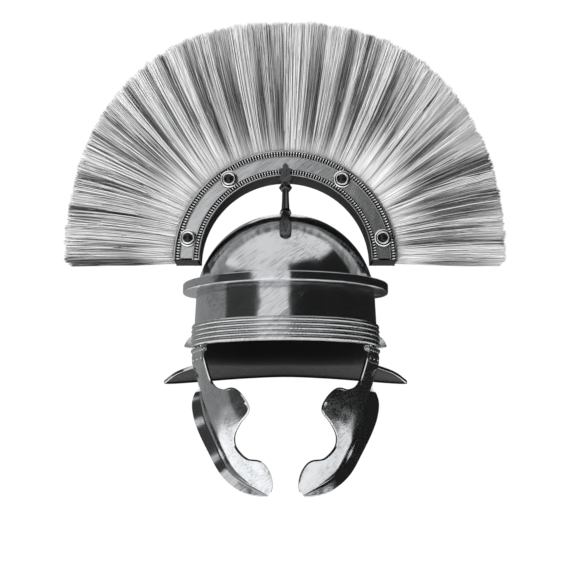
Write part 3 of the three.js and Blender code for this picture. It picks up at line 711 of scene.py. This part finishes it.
def crest_fork(b, k):
    """Strap on the crown, fluted stem, bar under the box and two prongs that grip it."""
    front, back = FORK["strap_front"], FORK["strap_back"]
    widths = [(-front, 2.5), (-front + 1.2, 5.2), (-87, 6.2), (-82, 6.4), (-74, 6.4), (-69.5, 6.3), (-67, 4.2),
              (-64.5, 3.5), (-62, 4.4), (-58, 5.2), (-45, 5.4), (-31, 5.7), (-16, 6), (0, 7), (16, 6), (31, 5.7),
              (45, 5.4), (back - 4, 5.2), (back - 1, 4.6), (back, 3.4)]
    ys = np.concatenate([np.linspace(-front, -56, 60), np.linspace(-56, back - 6, 40)[1:],
                         np.linspace(back - 6, back, 8)[1:]])
    halves = np.interp(ys, *zip(*widths))

    def dome(y, offset):
        deep = (b.front if y < 0 else b.back) / MM
        up = b.spring_up / MM + b.rise / MM * math.sqrt(1 - (y / deep) ** 2)
        return on_bowl(b, 0 if y < 0 else 180, up, offset)

    stations = []
    for y, half in zip(ys, halves):
        low, high = dome(y, GAP), dome(y, GAP + FORK["strap"])
        edge, shoulder = mix(low, high, 0.55), mix(low, high, 0.93)
        ring = [(-1, low), (1, low), (1.0, edge), (0.82, shoulder), (0.4, high), (0, high), (-0.4, high),
                (-0.82, shoulder), (-1.0, edge)]
        stations.append([(s * half, p[1], p[2]) for s, p in ring])
    parts = [sweep(stations)]
    raised, panel_at = [], -79.5  # a raised panel on the foot plate
    for step in np.linspace(-6.0, 6.0, 13):
        w = 2.4 * math.sqrt(max(0.02, 1 - (step / 6.2) ** 2))
        low, high = dome(panel_at + step, GAP + 2.2), dome(panel_at + step, GAP + 3.4)
        raised.append([(x, p[1], p[2]) for x, p in ((-w, low), (w, low), (w * 0.5, high), (-w * 0.5, high))])
    parts.append(sweep(raised))
    for x, y in ((-4.3, -85.5), (4.3, -85.5), (-4.1, back - 8), (4.1, back - 8)):
        at = dome(y, GAP + FORK["strap"] - 0.5)
        parts.append(rivet((x, at[1], at[2]), dome(y, 1) - dome(y, 0), 1.5, 1.3))
    crown = (b.spring_up + b.rise) / MM + GAP
    under = FORK["bar_under"]
    levels = [(crown + 0.2, 6.6, 9.4), (crown + 2.6, 6.6, 9.4), (crown + 3.2, 5.6, 8.2), (crown + 4.2, 6.1, 8.8),
              (crown + 5.2, 5.4, 8.0), (crown + 7, 4.6, 7.0), (crown + 18, 4.0, 6.3), (under - 4, 3.8, 6.0),
              (under - 2.6, 4.8, 6.8), (under - 1.2, 5.0, 7.0), (under + 0.4, 5.0, 7.0)]
    rings = []
    for up, x, y in levels:
        ring = []
        for t in np.linspace(0, 2 * np.pi, 48, endpoint=False):
            flute = 1 - (0.09 * (0.5 + 0.5 * math.cos(8 * t)) if crown + 5.5 < up < under - 3 else 0)
            c, s = math.cos(t), math.sin(t)
            square = [math.copysign(abs(v) ** 0.6, v) for v in (c, s)]
            ring.append((x * flute * square[0], y * flute * square[1], up))
        rings.append(ring)
    parts.append(sweep(rings))
    top = (k.centre_up + k.inner) / MM - 2 * GAP
    reach = k.half_depth / MM + GAP + FORK["prong"]
    parts.append(block((-4.3, 1.5 - reach, under), (4.3, reach - 1.5, top)))
    tip = FORK["finial"]
    outline = [(4.9, 0), (5.2, 1.2), (6.8, 3.2), (7.3, 4.2), (6.6, 5.2), (5.2, 7.4), (4.9, 9.5), (5.6, 12.4),
               (7.0, 13.6), (7.2, 14.6), (6.3, 15.4), (4.2, 15.9), (3.0, 16.4), (2.5, 17.2), (3.1, 18.2), (2.9, 19.2),
               (2.1, 20.2), (1.0, tip - under - 0.3)]
    shape = outline + [(0, tip - under)] + [(-x, z) for x, z in outline[::-1]]
    for face in (-1, 1):
        near, far = face * (k.half_depth / MM + GAP), face * reach
        parts.append(sweep([[(x, y, under - 0.2 + z) for x, z in shape] for y in (near, mix(near, far, 0.75))]
                           + [[(x * 0.86, far, under - 0.2 + 9 + (z - 9) * 0.93) for x, z in shape]]))
        for z in (187.5, 193.0):
            parts.append(rivet((0, face * reach, z), (0, face, 0), 1.7, 0.8))
    return joined(parts)


# Hair -------------------------------------------------------------------------------------

def crest_reach(h, turn):
    """Radius of the crest's outline at a turn from the top, in millimetres."""
    n = h.fullness
    shape = (np.abs(np.sin(turn)) / (h.half_width / MM)) ** n + (np.abs(np.cos(turn)) / (h.height / MM)) ** n
    return shape ** (-1 / n)


def hair_core(h, k):
    """The dense heart of the crest, a little inside the drawn hairs."""
    root, mouth = (k.inner + k.wall) / MM + GAP, k.outer / MM
    stations = []
    for i, turn in enumerate(np.radians(np.linspace(-89.2, 89.2, 241))):
        tip = crest_reach(h, turn) - 9 + 1.5 * math.sin(i * 1.9) + 1.0 * math.sin(i * 0.73)
        ridge = 0.5 * math.sin(i * math.pi / 2)
        clear = 1 - math.degrees(k.wall / MM + GAP + 0.2) / root / 90
        ring = []
        for r, d in ((root, 17.5), (mouth - 1, 17.5), (mix(mouth, tip, 0.4), 19 + ridge),
                     (mix(mouth, tip, 0.8), 20.5 + ridge), (tip, 13)):
            ring.append((r, d, turn * (clear if r < mouth else 1)))
        loop = [(r, -d, t) for r, d, t in ring] + [(r, d, t) for r, d, t in ring[::-1]]
        stations.append([on_arch(k, np.array(r), np.array(d), np.array(t)) for r, d, t in loop])
    return sweep(stations)


def comb(finish):
    """Where a hair is rooted for each place that it ends: combed up near the top and outwards at the sides."""
    ends, leans = (0, 16, 28, 40, 52, 62, 73, 83, 90), (0, -3.4, -5.2, -5.0, -1.5, 3.0, 5.0, 2.5, 0)
    lean = np.radians(np.interp(np.degrees(np.abs(finish)), ends, leans))
    return finish - np.sign(finish) * lean


def uneven(rng, places, turn):
    """Smooth random values round the crest, from about 0 to 1, changing over a number of places."""
    values = rng.random(places + 3)
    at = (turn / math.pi + 0.5) * places + 1
    i = np.clip(at.astype(int), 0, places + 1)
    return mix(values[i], values[i + 1], smoothstep(at - i, 0, 1))


def hair_bundle(h, k, seed, count):
    """Tapered three-sided hairs from the box's mouth to the crest's outline: points, faces, shades."""
    rng, lock_rng = np.random.default_rng(seed), np.random.default_rng(11)
    locks = h.locks
    lock_lean, lock_long = lock_rng.normal(0, 0.006, locks + 1), lock_rng.normal(0, 0.9, locks + 1)
    finish = rng.uniform(-1, 1, count) * math.radians(90)
    lock = np.round((finish / math.pi + 0.5) * locks).astype(int)
    centre = (lock / locks - 0.5) * math.pi
    front = rng.random(count) < 0.5
    layer = np.where(front, -1, 1) * rng.random(count) ** 0.6  # more hairs near the two faces
    start = np.clip(comb(finish) + lock_lean[lock], -math.radians(89), math.radians(89))
    finish = finish + (centre - finish) * rng.uniform(0, 0.35, count) + rng.normal(0, 0.006, count)
    loose = rng.random(count) < 0.05
    finish = np.clip(finish + loose * rng.normal(0, 0.03, count), -math.radians(90.2), math.radians(90.2))
    reach = crest_reach(h, finish) + 0.6 + lock_long[lock] - np.abs(rng.normal(0, 1.0, count))
    reach = reach - rng.random(count) ** 14 * 30  # a few hairs are broken short
    root = k.outer / MM - rng.uniform(2, 9, count)
    bow, puff = rng.normal(0, 0.004, count), rng.normal(0, 1.2, count)
    thick = h.thickness / MM * rng.uniform(0.7, 1.3, count)
    # Dark streaks: the share of dark hairs changes round the crest, and each streak has its own start and end
    tone = sum(w * uneven(np.random.default_rng(n), places, finish)
               for w, n, places in ((0.25, 3, 15), (0.40, 5, 64), (0.35, 8, 170)))
    top = 1 - smoothstep(np.abs(finish), math.radians(12), math.radians(36))
    share = mix(0.16, 0.97, smoothstep(tone + 0.08 * top, 0.36, 0.66))
    dark = np.where(rng.random(count) < share, rng.uniform(0.62, 1.0, count), rng.uniform(0.0, 0.3, count))
    begin = 0.02 + 0.30 * uneven(np.random.default_rng(21), 60, finish) * (1 - 0.85 * top)
    begin = begin + rng.normal(0, 0.035, count)
    end = 0.62 + 0.75 * uneven(np.random.default_rng(34), 80, finish) + rng.normal(0, 0.08, count)
    stops = (0.0, 0.18, 0.44, 0.74, 0.97)
    points = np.zeros((count, len(stops) * 3 + 1, 3))
    shade = np.ones((count, len(stops) * 3 + 1, 4))
    column = 0
    for i, stop in enumerate(stops + (1.0,)):
        s = stop + (rng.uniform(-0.07, 0.07, count) if 0 < i < 4 else 0) + np.zeros(count)
        turn = mix(start, finish, s) + bow * np.sin(math.pi * s)
        radius = mix(root, reach, s)
        half = mix(h.root_depth / MM, h.tip_depth / MM, np.minimum(1, s * 2.0))
        half = half * (1 - 0.16 * np.maximum(0, s - 0.7) / 0.3)
        middle = on_arch(k, radius, layer * half + puff * np.sin(math.pi * s), turn)
        across = np.stack([np.cos(turn), 0 * turn, -np.sin(turn)], 1)
        width = thick * (0.8, 1.0, 1.0, 1.0, 0.85, 0.0)[i]
        amount = dark * smoothstep(s, begin, begin + 0.14) * (1 - 0.6 * smoothstep(s, end - 0.3, end))
        amount = np.clip(amount + 0.07 * rng.random(count) + (0.3 if i > 4 else 0), 0, 1)
        for c in range(3 if i < len(stops) else 1):
            angle = 2 * math.pi * c / 3
            sideways = across * (width * math.cos(angle))[:, None]
            points[:, column] = middle + sideways + np.outer(width * math.sin(angle), [0, 1, 0])
            shade[:, column, :3] = amount[:, None]
            column += 1
    faces = []
    for i in range(len(stops) - 1):
        for c in range(3):
            a, b = i * 3 + c, i * 3 + (c + 1) % 3
            faces += [[a, b, b + 3], [a, b + 3, a + 3]]
    last = (len(stops) - 1) * 3
    faces += [[last, last + 1, last + 3], [last + 1, last + 2, last + 3], [last + 2, last, last + 3], [0, 2, 1]]
    triangles = (np.array(faces)[None] + np.arange(count)[:, None, None] * points.shape[1]).reshape(-1, 3)
    return points.reshape(-1, 3) * MM, triangles, shade.reshape(-1, 4)


def triangle_object(name, points, triangles, shades):
    """A large triangle mesh with a colour for each point."""
    mesh = bpy.data.meshes.new(name)
    mesh.vertices.add(len(points))
    mesh.vertices.foreach_set("co", points.astype(np.float32).ravel())
    mesh.loops.add(len(triangles) * 3)
    mesh.loops.foreach_set("vertex_index", triangles.astype(np.int32).ravel())
    mesh.polygons.add(len(triangles))
    mesh.polygons.foreach_set("loop_start", np.arange(0, len(triangles) * 3, 3, dtype=np.int32))
    mesh.update(calc_edges=True)
    mesh.polygons.foreach_set("use_smooth", [True] * len(mesh.polygons))
    layer = mesh.color_attributes.new("hair", "FLOAT_COLOR", "POINT")
    layer.data.foreach_set("color", shades.astype(np.float32).ravel())
    obj = bpy.data.objects.new(name, mesh)
    bpy.context.scene.collection.objects.link(obj)
    return obj


# Materials --------------------------------------------------------------------------------

def add_node(tree, kind, inputs=(), **settings):
    """Adds a node, sets its properties, and fills or links its inputs."""
    node = tree.nodes.new(kind)
    for key, value in settings.items():
        setattr(node, key, value)
    for key, value in dict(inputs).items():
        if isinstance(value, bpy.types.NodeSocket):
            tree.links.new(value, node.inputs[key])
        else:
            node.inputs[key].default_value = value
    return node


def start_material(name):
    """An empty material with its output node."""
    material = bpy.data.materials.new(name)
    material.use_nodes = True
    material.node_tree.nodes.clear()
    return material, material.node_tree


def finish_material(tree, shader):
    add_node(tree, "ShaderNodeOutputMaterial", {"Surface": shader.outputs[0]})


def made_once(make):
    """A material's function that makes it the first time and gives it back after that."""
    def find():
        return bpy.data.materials.get(make.__name__) or make(bpy.context.scene.helmet.finish)
    return find


def worked_metal(name, bright, dull, smooth, rough, dent_mm, dent_depth, mark_mm, mark_depth):
    """A hand-worked metal: hammered, then polished with strokes that run up to the right."""
    material, tree = start_material(name)
    place = add_node(tree, "ShaderNodeTexCoord").outputs["Object"]
    cloud = add_node(tree, "ShaderNodeTexNoise", {
        "Vector": place, "Scale": 1 / 0.034, "Detail": 5.0, "Roughness": 0.62})
    turned = add_node(tree, "ShaderNodeMapping", {"Vector": place, "Rotation": (0, math.radians(38), 0)})
    drawn = add_node(tree, "ShaderNodeMapping", {"Vector": turned.outputs[0], "Scale": (1 / 26, 1 / 4, 1 / mark_mm)})
    marks = add_node(tree, "ShaderNodeTexNoise", {
        "Vector": drawn.outputs[0], "Scale": 1000.0, "Detail": 3.0, "Roughness": 0.7})
    crossed = add_node(tree, "ShaderNodeMapping", {
        "Vector": place, "Rotation": (0.4, math.radians(-24), 0.3), "Scale": (1 / 18, 1 / 5, 1 / (mark_mm * 0.7))})
    scratches = add_node(tree, "ShaderNodeTexNoise", {"Vector": crossed.outputs[0], "Scale": 1000.0, "Detail": 2.0})
    worn = add_node(tree, "ShaderNodeMapRange", {"Value": cloud.outputs["Fac"], "From Min": 0.36, "From Max": 0.66})
    lines = add_node(tree, "ShaderNodeMapRange", {"Value": marks.outputs["Fac"], "From Min": 0.42, "From Max": 0.7})
    wear = add_node(tree, "ShaderNodeMath", {0: worn.outputs[0], 1: lines.outputs[0]}, operation="MULTIPLY")
    tone = add_node(tree, "ShaderNodeMix", {0: wear.outputs[0], 6: bright, 7: dull}, data_type="RGBA")
    gloss = add_node(tree, "ShaderNodeMapRange", {"Value": wear.outputs[0], "To Min": smooth, "To Max": rough})
    hammer = add_node(tree, "ShaderNodeTexVoronoi", {"Vector": place, "Scale": 1000 / dent_mm, "Smoothness": 1.0},
                      feature="SMOOTH_F1")
    dents = add_node(tree, "ShaderNodeBump", {
        "Height": hammer.outputs["Distance"], "Strength": 1.0, "Distance": dent_depth * MM})
    strokes = add_node(tree, "ShaderNodeBump", {
        "Height": marks.outputs["Fac"], "Strength": 1.0, "Distance": mark_depth * MM, "Normal": dents.outputs[0]})
    fine = add_node(tree, "ShaderNodeBump", {
        "Height": scratches.outputs["Fac"], "Strength": 1.0, "Distance": mark_depth * MM * 0.6,
        "Normal": strokes.outputs[0]})
    finish_material(tree, add_node(tree, "ShaderNodeBsdfPrincipled", {
        "Base Color": tone.outputs[2], "Metallic": 1.0, "Roughness": gloss.outputs[0], "Normal": fine.outputs[0]}))
    return material


@made_once
def polished_iron(f):
    """Raised iron sheet, planished and hand-polished: mirror-like, with soft dents and fine diagonal strokes."""
    return worked_metal("polished_iron", f.iron, f.iron_dull, 0.1, 0.34, 17, 0.35, 0.9, 0.035)


@made_once
def tinned_bronze(f):
    """Tinned bronze fittings: a softer, whiter shine than the iron, duller where the tin is thin."""
    return worked_metal("tinned_bronze", f.tin, f.tin_dull, 0.2, 0.42, 9, 0.08, 0.6, 0.015)


@made_once
def tin_with_painted_highlight(f):
    """Tin made lighter on the raised rings and ridges: a painted highlight."""
    return worked_metal("tin_with_painted_highlight", f.tin_bright, f.tin, 0.14, 0.3, 5, 0.04, 0.5, 0.01)


@made_once
def dark_tin(f):
    """Dark tinned bronze, from dull tin to nearly black."""
    return worked_metal("dark_tin", f.tin_dull, f.tin_worn, 0.26, 0.5, 6, 0.08, 0.5, 0.03)


@made_once
def blackened_iron_and_painted_shade(f):
    """Forge-blackened iron, nearly black with a dull broken shine: the unpolished inside of the bowl and cheek pieces,
    kept this dark as painted shade there and under the neck guard, and painted shade on the crest box's underside, end
    faces and channels and in the bosses' grooves.
    """
    material, tree = start_material("blackened_iron_and_painted_shade")
    place = add_node(tree, "ShaderNodeTexCoord").outputs["Object"]
    scale = add_node(tree, "ShaderNodeTexNoise", {"Vector": place, "Scale": 1 / 0.006, "Detail": 6.0, "Roughness": 0.7})
    tone = add_node(tree, "ShaderNodeMix", {0: scale.outputs["Fac"], 6: f.enamel, 7: f.blackened}, data_type="RGBA")
    gloss = add_node(tree, "ShaderNodeMapRange", {"Value": scale.outputs["Fac"], "To Min": 0.5, "To Max": 0.85})
    bump = add_node(tree, "ShaderNodeBump", {"Height": scale.outputs["Fac"], "Strength": 0.6, "Distance": 0.2 * MM})
    finish_material(tree, add_node(tree, "ShaderNodeBsdfPrincipled", {
        "Base Color": tone.outputs[2], "Metallic": 0.0, "Roughness": gloss.outputs[0], "Specular IOR Level": 0.12,
        "Normal": bump.outputs[0]}))
    return material


@made_once
def black_enamel(f):
    """Fused black enamel: glassy and deep, with a faint waviness from the kiln."""
    material, tree = start_material("black_enamel")
    place = add_node(tree, "ShaderNodeTexCoord").outputs["Object"]
    wave = add_node(tree, "ShaderNodeTexNoise", {"Vector": place, "Scale": 1 / 0.003, "Detail": 2.0})
    tone = add_node(tree, "ShaderNodeMix", {0: wave.outputs["Fac"], 6: f.enamel, 7: f.blackened}, data_type="RGBA")
    gloss = add_node(tree, "ShaderNodeMapRange", {"Value": wave.outputs["Fac"], "To Min": 0.05, "To Max": 0.16})
    bump = add_node(tree, "ShaderNodeBump", {"Height": wave.outputs["Fac"], "Strength": 0.5, "Distance": 0.05 * MM})
    finish_material(tree, add_node(tree, "ShaderNodeBsdfPrincipled", {
        "Base Color": tone.outputs[2], "Roughness": gloss.outputs[0], "Specular IOR Level": 0.3,
        "Normal": bump.outputs[0]}))
    return material


@made_once
def undyed_horsehair(f):
    """Undyed pale horsehair: dry and faintly glossy, with dark streaks that thin out to pale tips."""
    material, tree = start_material("undyed_horsehair")
    own = add_node(tree, "ShaderNodeVertexColor", layer_name="hair")
    place = add_node(tree, "ShaderNodeTexCoord").outputs["Object"]
    dust = add_node(tree, "ShaderNodeTexNoise", {"Vector": place, "Scale": 1 / 0.0012, "Detail": 2.0})
    fleck = add_node(tree, "ShaderNodeMapRange", {"Value": dust.outputs["Fac"], "To Min": 0.8, "To Max": 1.15})
    amount = add_node(tree, "ShaderNodeMath", {0: own.outputs["Color"], 1: fleck.outputs[0]},
                      operation="MULTIPLY", use_clamp=True)
    shade = add_node(tree, "ShaderNodeMix", {0: amount.outputs[0], 6: f.hair_light, 7: f.hair_dark}, data_type="RGBA")
    finish_material(tree, add_node(tree, "ShaderNodeBsdfPrincipled", {
        "Base Color": shade.outputs[2], "Roughness": 0.5, "Specular IOR Level": 0.3}))
    return material


@made_once
def hair_shadow(f):
    """Dense hair in the heart of the crest, painted grey with radiating streaks as the shade among the hairs."""
    k = bpy.context.scene.helmet.crest
    material, tree = start_material("hair_shadow")
    place = add_node(tree, "ShaderNodeTexCoord").outputs["Object"]
    parts = add_node(tree, "ShaderNodeSeparateXYZ", {"Vector": place})
    up = add_node(tree, "ShaderNodeMath", {0: parts.outputs[2], 1: k.centre_up}, operation="SUBTRACT")
    turn = add_node(tree, "ShaderNodeMath", {0: parts.outputs[0], 1: up.outputs[0]}, operation="ARCTAN2")
    flat = add_node(tree, "ShaderNodeCombineXYZ", {0: turn.outputs[0], 1: 0.0, 2: 0.0})
    streaks = add_node(tree, "ShaderNodeTexNoise", {
        "Vector": flat.outputs[0], "Scale": 160.0, "Detail": 6.0, "Roughness": 0.75})
    tone = add_node(tree, "ShaderNodeMix", {0: streaks.outputs["Fac"], 6: f.hair_dark, 7: f.hair_light},
                    data_type="RGBA")
    bump = add_node(tree, "ShaderNodeBump", {"Height": streaks.outputs["Fac"], "Strength": 0.8, "Distance": 1.0 * MM})
    finish_material(tree, add_node(tree, "ShaderNodeBsdfPrincipled", {
        "Base Color": tone.outputs[2], "Roughness": 0.7, "Normal": bump.outputs[0]}))
    return material


def plain_matt(name, hex_colour):
    """A flat matt paint."""
    material, tree = start_material(name)
    finish_material(tree, add_node(tree, "ShaderNodeBsdfPrincipled", {
        "Base Color": linear(hex_colour), "Roughness": 0.95}))
    return material


# The studio: its white, how strongly the sky shines, and the lamps by place in metres, size and power
PALE = "#FEFEFE"
SKY_STRENGTH = 1.03
LAMPS = [
    ("key", (-1.5, -1.2, 1.5), 1.2, 34),
    ("fill", (1.2, -1.7, 0.4), 1.4, 8),
    ("rim", (-1.0, 1.6, 1.2), 1.0, 14),
]
SENSOR_MM = 36
SHIFT_X = -0.0009  # the helmet stands a little off the picture's middle

# Plain upright cards round the studio, dark on one side and grey on the other, as polished metal is
# lit: the tone, the azimuth range from the camera's side and the height range, in degrees.
STUDIO_CARDS = [
    ("card_right_front", 0.02, (4, 60), (-45, 46)),
    ("card_right", 0.02, (60, 118), (-45, 46)),
    ("card_right_rear", 0.02, (118, 174), (-45, 46)),
    ("card_left_front", 0.06, (-84, -36), (-45, 30)),
    ("card_left", 0.33, (-130, -84), (-45, 30)),
    ("card_left_rear", 0.33, (-174, -130), (-45, 30)),
]


def studio_card(name, tone, turns, rises, radius=1.6):
    """A plain rectangular card that only reflections show."""
    corners = [(turns[i], rises[j]) for i, j in ((0, 0), (1, 0), (1, 1), (0, 1))]
    turn, rise = np.radians(np.array(corners, float)).T
    rim = np.stack([np.sin(turn), -np.cos(turn), np.tan(rise)], -1) * radius
    card = new_object(name, rim + [0, 0, 0.08], [tuple(range(len(rim)))])
    material, tree = start_material(name)
    finish_material(tree, add_node(tree, "ShaderNodeEmission", {"Color": (tone, tone, tone, 1), "Strength": 1.0}))
    card.data.materials.append(material)
    for ray in ("camera", "diffuse", "shadow", "transmission", "volume_scatter"):
        setattr(card, f"visible_{ray}", False)
    return card


# Operators --------------------------------------------------------------------------------

class HELMET_OT_stage(bpy.types.Operator):
    """Sets the floor, the camera and the studio light"""
    bl_idname = "helmet.stage"
    bl_label = "Stage"
    bl_options = {"REGISTER", "UNDO"}

    def execute(self, context):
        scene, s = context.scene, context.scene.helmet.studio
        corners = np.array([(-9, -9, 0), (9, -9, 0), (9, 9, 0), (-9, 9, 0)]) - [0, 0, s.floor_drop]
        floor = new_object("floor", corners, [(0, 1, 2, 3)])
        floor.data.materials.append(plain_matt("pale_floor", PALE))
        camera = bpy.data.cameras.new("camera")
        camera.lens, camera.sensor_width, camera.shift_x = s.lens, SENSOR_MM, SHIFT_X
        camera.clip_start, camera.clip_end = 0.05, 50
        eye = bpy.data.objects.new("camera", camera)
        target = Vector((0, 0, s.target_up))
        away = Vector((0, -math.cos(s.camera_elevation), math.sin(s.camera_elevation)))
        eye.location = target + away * s.camera_distance
        eye.rotation_euler = (-away).to_track_quat("-Z", "Y").to_euler()
        scene.collection.objects.link(eye)
        scene.camera = eye
        for name, at, size, power in LAMPS:
            light = bpy.data.lights.new(name, "AREA")
            light.shape, light.size, light.energy = "SQUARE", size, power
            lamp = bpy.data.objects.new(name, light)
            lamp.location = at
            lamp.rotation_euler = (Vector((0, 0, 0.1)) - Vector(at)).to_track_quat("-Z", "Y").to_euler()
            lamp.visible_glossy = False
            scene.collection.objects.link(lamp)
        for card in STUDIO_CARDS:
            studio_card(*card)
        world = bpy.data.worlds.new("studio")
        scene.world = world
        world.use_nodes = True
        world.node_tree.nodes.clear()
        sky = add_node(world.node_tree, "ShaderNodeBackground", {"Color": linear(PALE), "Strength": SKY_STRENGTH})
        add_node(world.node_tree, "ShaderNodeOutputWorld", {"Surface": sky.outputs[0]})
        scene.view_settings.view_transform = "Standard"
        return {"FINISHED"}


class HELMET_OT_bowl(bpy.types.Operator):
    """Makes the bowl with its neck guard"""
    bl_idname = "helmet.bowl"
    bl_label = "Bowl and neck guard"
    bl_options = {"REGISTER", "UNDO"}

    def execute(self, context):
        b = context.scene.helmet.bowl
        bowl = sheet_object("bowl", bowl_grid(b), b.sheet, (0, 0, 0.05), closed=True)
        soften(bowl, 0.4)
        # The inner faces, the neck guard's underside among them, take blackened iron: unpolished iron darkened as
        # painted shade.
        in_body(bowl, "helmet", ["skull"], polished_iron(), blackened_iron_and_painted_shade())
        return {"FINISHED"}


class HELMET_OT_brow(bpy.types.Operator):
    """Makes the brow bar and the reeded band"""
    bl_idname = "helmet.brow"
    bl_label = "Brow bar and band"
    bl_options = {"REGISTER", "UNDO"}

    def execute(self, context):
        b, w = context.scene.helmet.bowl, context.scene.helmet.brow
        in_body(made("brow_bar", brow_bar(b, w), 0.25), "helmet", ["brow_guard"], polished_iron())
        in_body(made("reeded_band", brow_band(b, w), 0.15), "helmet", ["brow_band"], tinned_bronze())
        for label, side in SIDES:
            arch = made(f"ear_arch_{label}", handed(ear_guard(b, w), side), 0.2)
            in_body(arch, "helmet", [f"ear_guard_{label}"], tinned_bronze())
        return {"FINISHED"}


class HELMET_OT_cheeks(bpy.types.Operator):
    """Makes the two cheek pieces with their hinges"""
    bl_idname = "helmet.cheeks"
    bl_label = "Cheek pieces"
    bl_options = {"REGISTER", "UNDO"}

    def execute(self, context):
        b, c = context.scene.helmet.bowl, context.scene.helmet.cheek
        for label, side in SIDES:
            grid = cheek_grid(c) * [side, 1, 1]
            cheek = sheet_object(f"cheek_plate_{label}", grid, c.sheet, (0, 0.02, -0.07), even=False)
            soften(cheek, 0.35)
            body = f"cheek_{label}"
            # The inner faces take blackened iron: unpolished iron darkened as painted shade.
            in_body(cheek, body, [f"cheek_piece_{label}"], polished_iron(), blackened_iron_and_painted_shade())
            lower = made(f"leaf_lower_{label}", handed(lower_leaf(), side), 0.2)
            in_body(lower, body, [f"hinge_lower_{label}"], tinned_bronze())
            upper = made(f"leaf_upper_{label}", handed(upper_leaf(b), side), 0.2)
            in_body(upper, "helmet", [f"hinge_upper_{label}"], tinned_bronze())
            pin = made(f"pin_{label}", handed(hinge_pin(), side))
            in_body(pin, "helmet", [f"hinge_pin_{label}"], polished_iron())
        return {"FINISHED"}


class HELMET_OT_crest_box(bpy.types.Operator):
    """Makes the crest box, its milled borders and its bosses"""
    bl_idname = "helmet.crest_box"
    bl_label = "Crest box"
    bl_options = {"REGISTER", "UNDO"}

    def execute(self, context):
        k = context.scene.helmet.crest
        box = made("box", crest_box(k), 0.15)
        in_body(box, "helmet", ["crest_box"], tinned_bronze(), blackened_iron_and_painted_shade())
        up, inner, outer, deep = k.centre_up / MM, k.inner / MM, k.outer / MM, k.half_depth / MM

        # Painted shade: the channel floors, the box's underside and its downward end faces take blackened iron.
        def recessed(x, y, z):
            r = math.hypot(x, z - up)
            channel = inner + 1.4 < r < inner + 6.5 or outer - 7.2 < r < outer - 1.8
            floor = channel and z > up + 1 and abs(abs(y) - (deep - 0.9)) < 0.45
            return floor or r < inner + 0.05 and abs(y) < deep - 1 or z < up + 0.05

        paint(box, 1, recessed)
        # The milled ridges are lighter tin: a painted highlight.
        in_body(made("milled_borders", milling(k)), "helmet", [], tin_with_painted_highlight())
        forward = np.array([(1.0, 0, 0), (0, 0, 1.0), (0, -1.0, 0)])
        for name, at in boss_places(k):
            # Painted shade: the groove round the raised ring and the collar's outer edge take blackened iron; the rest
            # of the collar is lighter tin as a painted highlight.
            def sunk(x, y, z):
                r = math.hypot(x - at[0], z - at[2])
                return 7.05 < r < 8.1 or r > 9.45

            collar = made(f"boss_form_{name}", placed(boss_collar(k), at, *forward))
            in_body(collar, "helmet", [f"boss_{name}"], tin_with_painted_highlight(), blackened_iron_and_painted_shade())
            paint(collar, 1, sunk)
            stud = made(f"stud_form_{name}", placed(boss_stud(), at, *forward))
            in_body(stud, "helmet", [f"stud_{name}"], black_enamel())
        return {"FINISHED"}


class HELMET_OT_fork(bpy.types.Operator):
    """Makes the fork that holds the crest"""
    bl_idname = "helmet.fork"
    bl_label = "Crest fork"
    bl_options = {"REGISTER", "UNDO"}

    def execute(self, context):
        fork = made("fork", crest_fork(context.scene.helmet.bowl, context.scene.helmet.crest), 0.25)
        in_body(fork, "helmet", ["crest_fork"], dark_tin())
        return {"FINISHED"}


class HELMET_OT_hair(bpy.types.Operator):
    """Makes the horsehair crest"""
    bl_idname = "helmet.hair"
    bl_label = "Horsehair"
    bl_options = {"REGISTER", "UNDO"}

    def execute(self, context):
        h, k = context.scene.helmet.hair, context.scene.helmet.crest
        # The heart's grey is painted shade among the hairs.
        in_body(made("hair_heart", hair_core(h, k)), "helmet", ["crest_hair"], hair_shadow())
        for bundle in range(4):
            count = h.strands
            hairs = triangle_object(f"hair_bundle_{bundle + 1}", *hair_bundle(h, k, 20 + bundle, count))
            in_body(hairs, "helmet", [], undyed_horsehair())
        return {"FINISHED"}


STEPS = (HELMET_OT_stage, HELMET_OT_bowl, HELMET_OT_brow, HELMET_OT_cheeks, HELMET_OT_crest_box, HELMET_OT_fork,
         HELMET_OT_hair)


class HELMET_PT_panel(bpy.types.Panel):
    """Lists the steps that build the helmet"""
    bl_idname = "HELMET_PT_panel"
    bl_label = "Crested Roman helmet"
    bl_space_type = "VIEW_3D"
    bl_region_type = "UI"
    bl_category = "Helmet"

    def draw(self, context):
        for step in STEPS:
            self.layout.operator(step.bl_idname)


CLASSES = (HELMET_PG_bowl, HELMET_PG_brow, HELMET_PG_cheek, HELMET_PG_crest, HELMET_PG_hair, HELMET_PG_finish,
           HELMET_PG_studio, HELMET_PG_all) + STEPS + (HELMET_PT_panel,)


def register():
    for cls in CLASSES:
        bpy.utils.register_class(cls)
    bpy.types.Scene.helmet = PointerProperty(type=HELMET_PG_all)


def unregister():
    del bpy.types.Scene.helmet
    for cls in reversed(CLASSES):
        bpy.utils.unregister_class(cls)


def main():
    register()
    for step in STEPS:
        group, name = step.bl_idname.split(".")
        getattr(getattr(bpy.ops, group), name)()


if __name__ == "__main__":
    main()
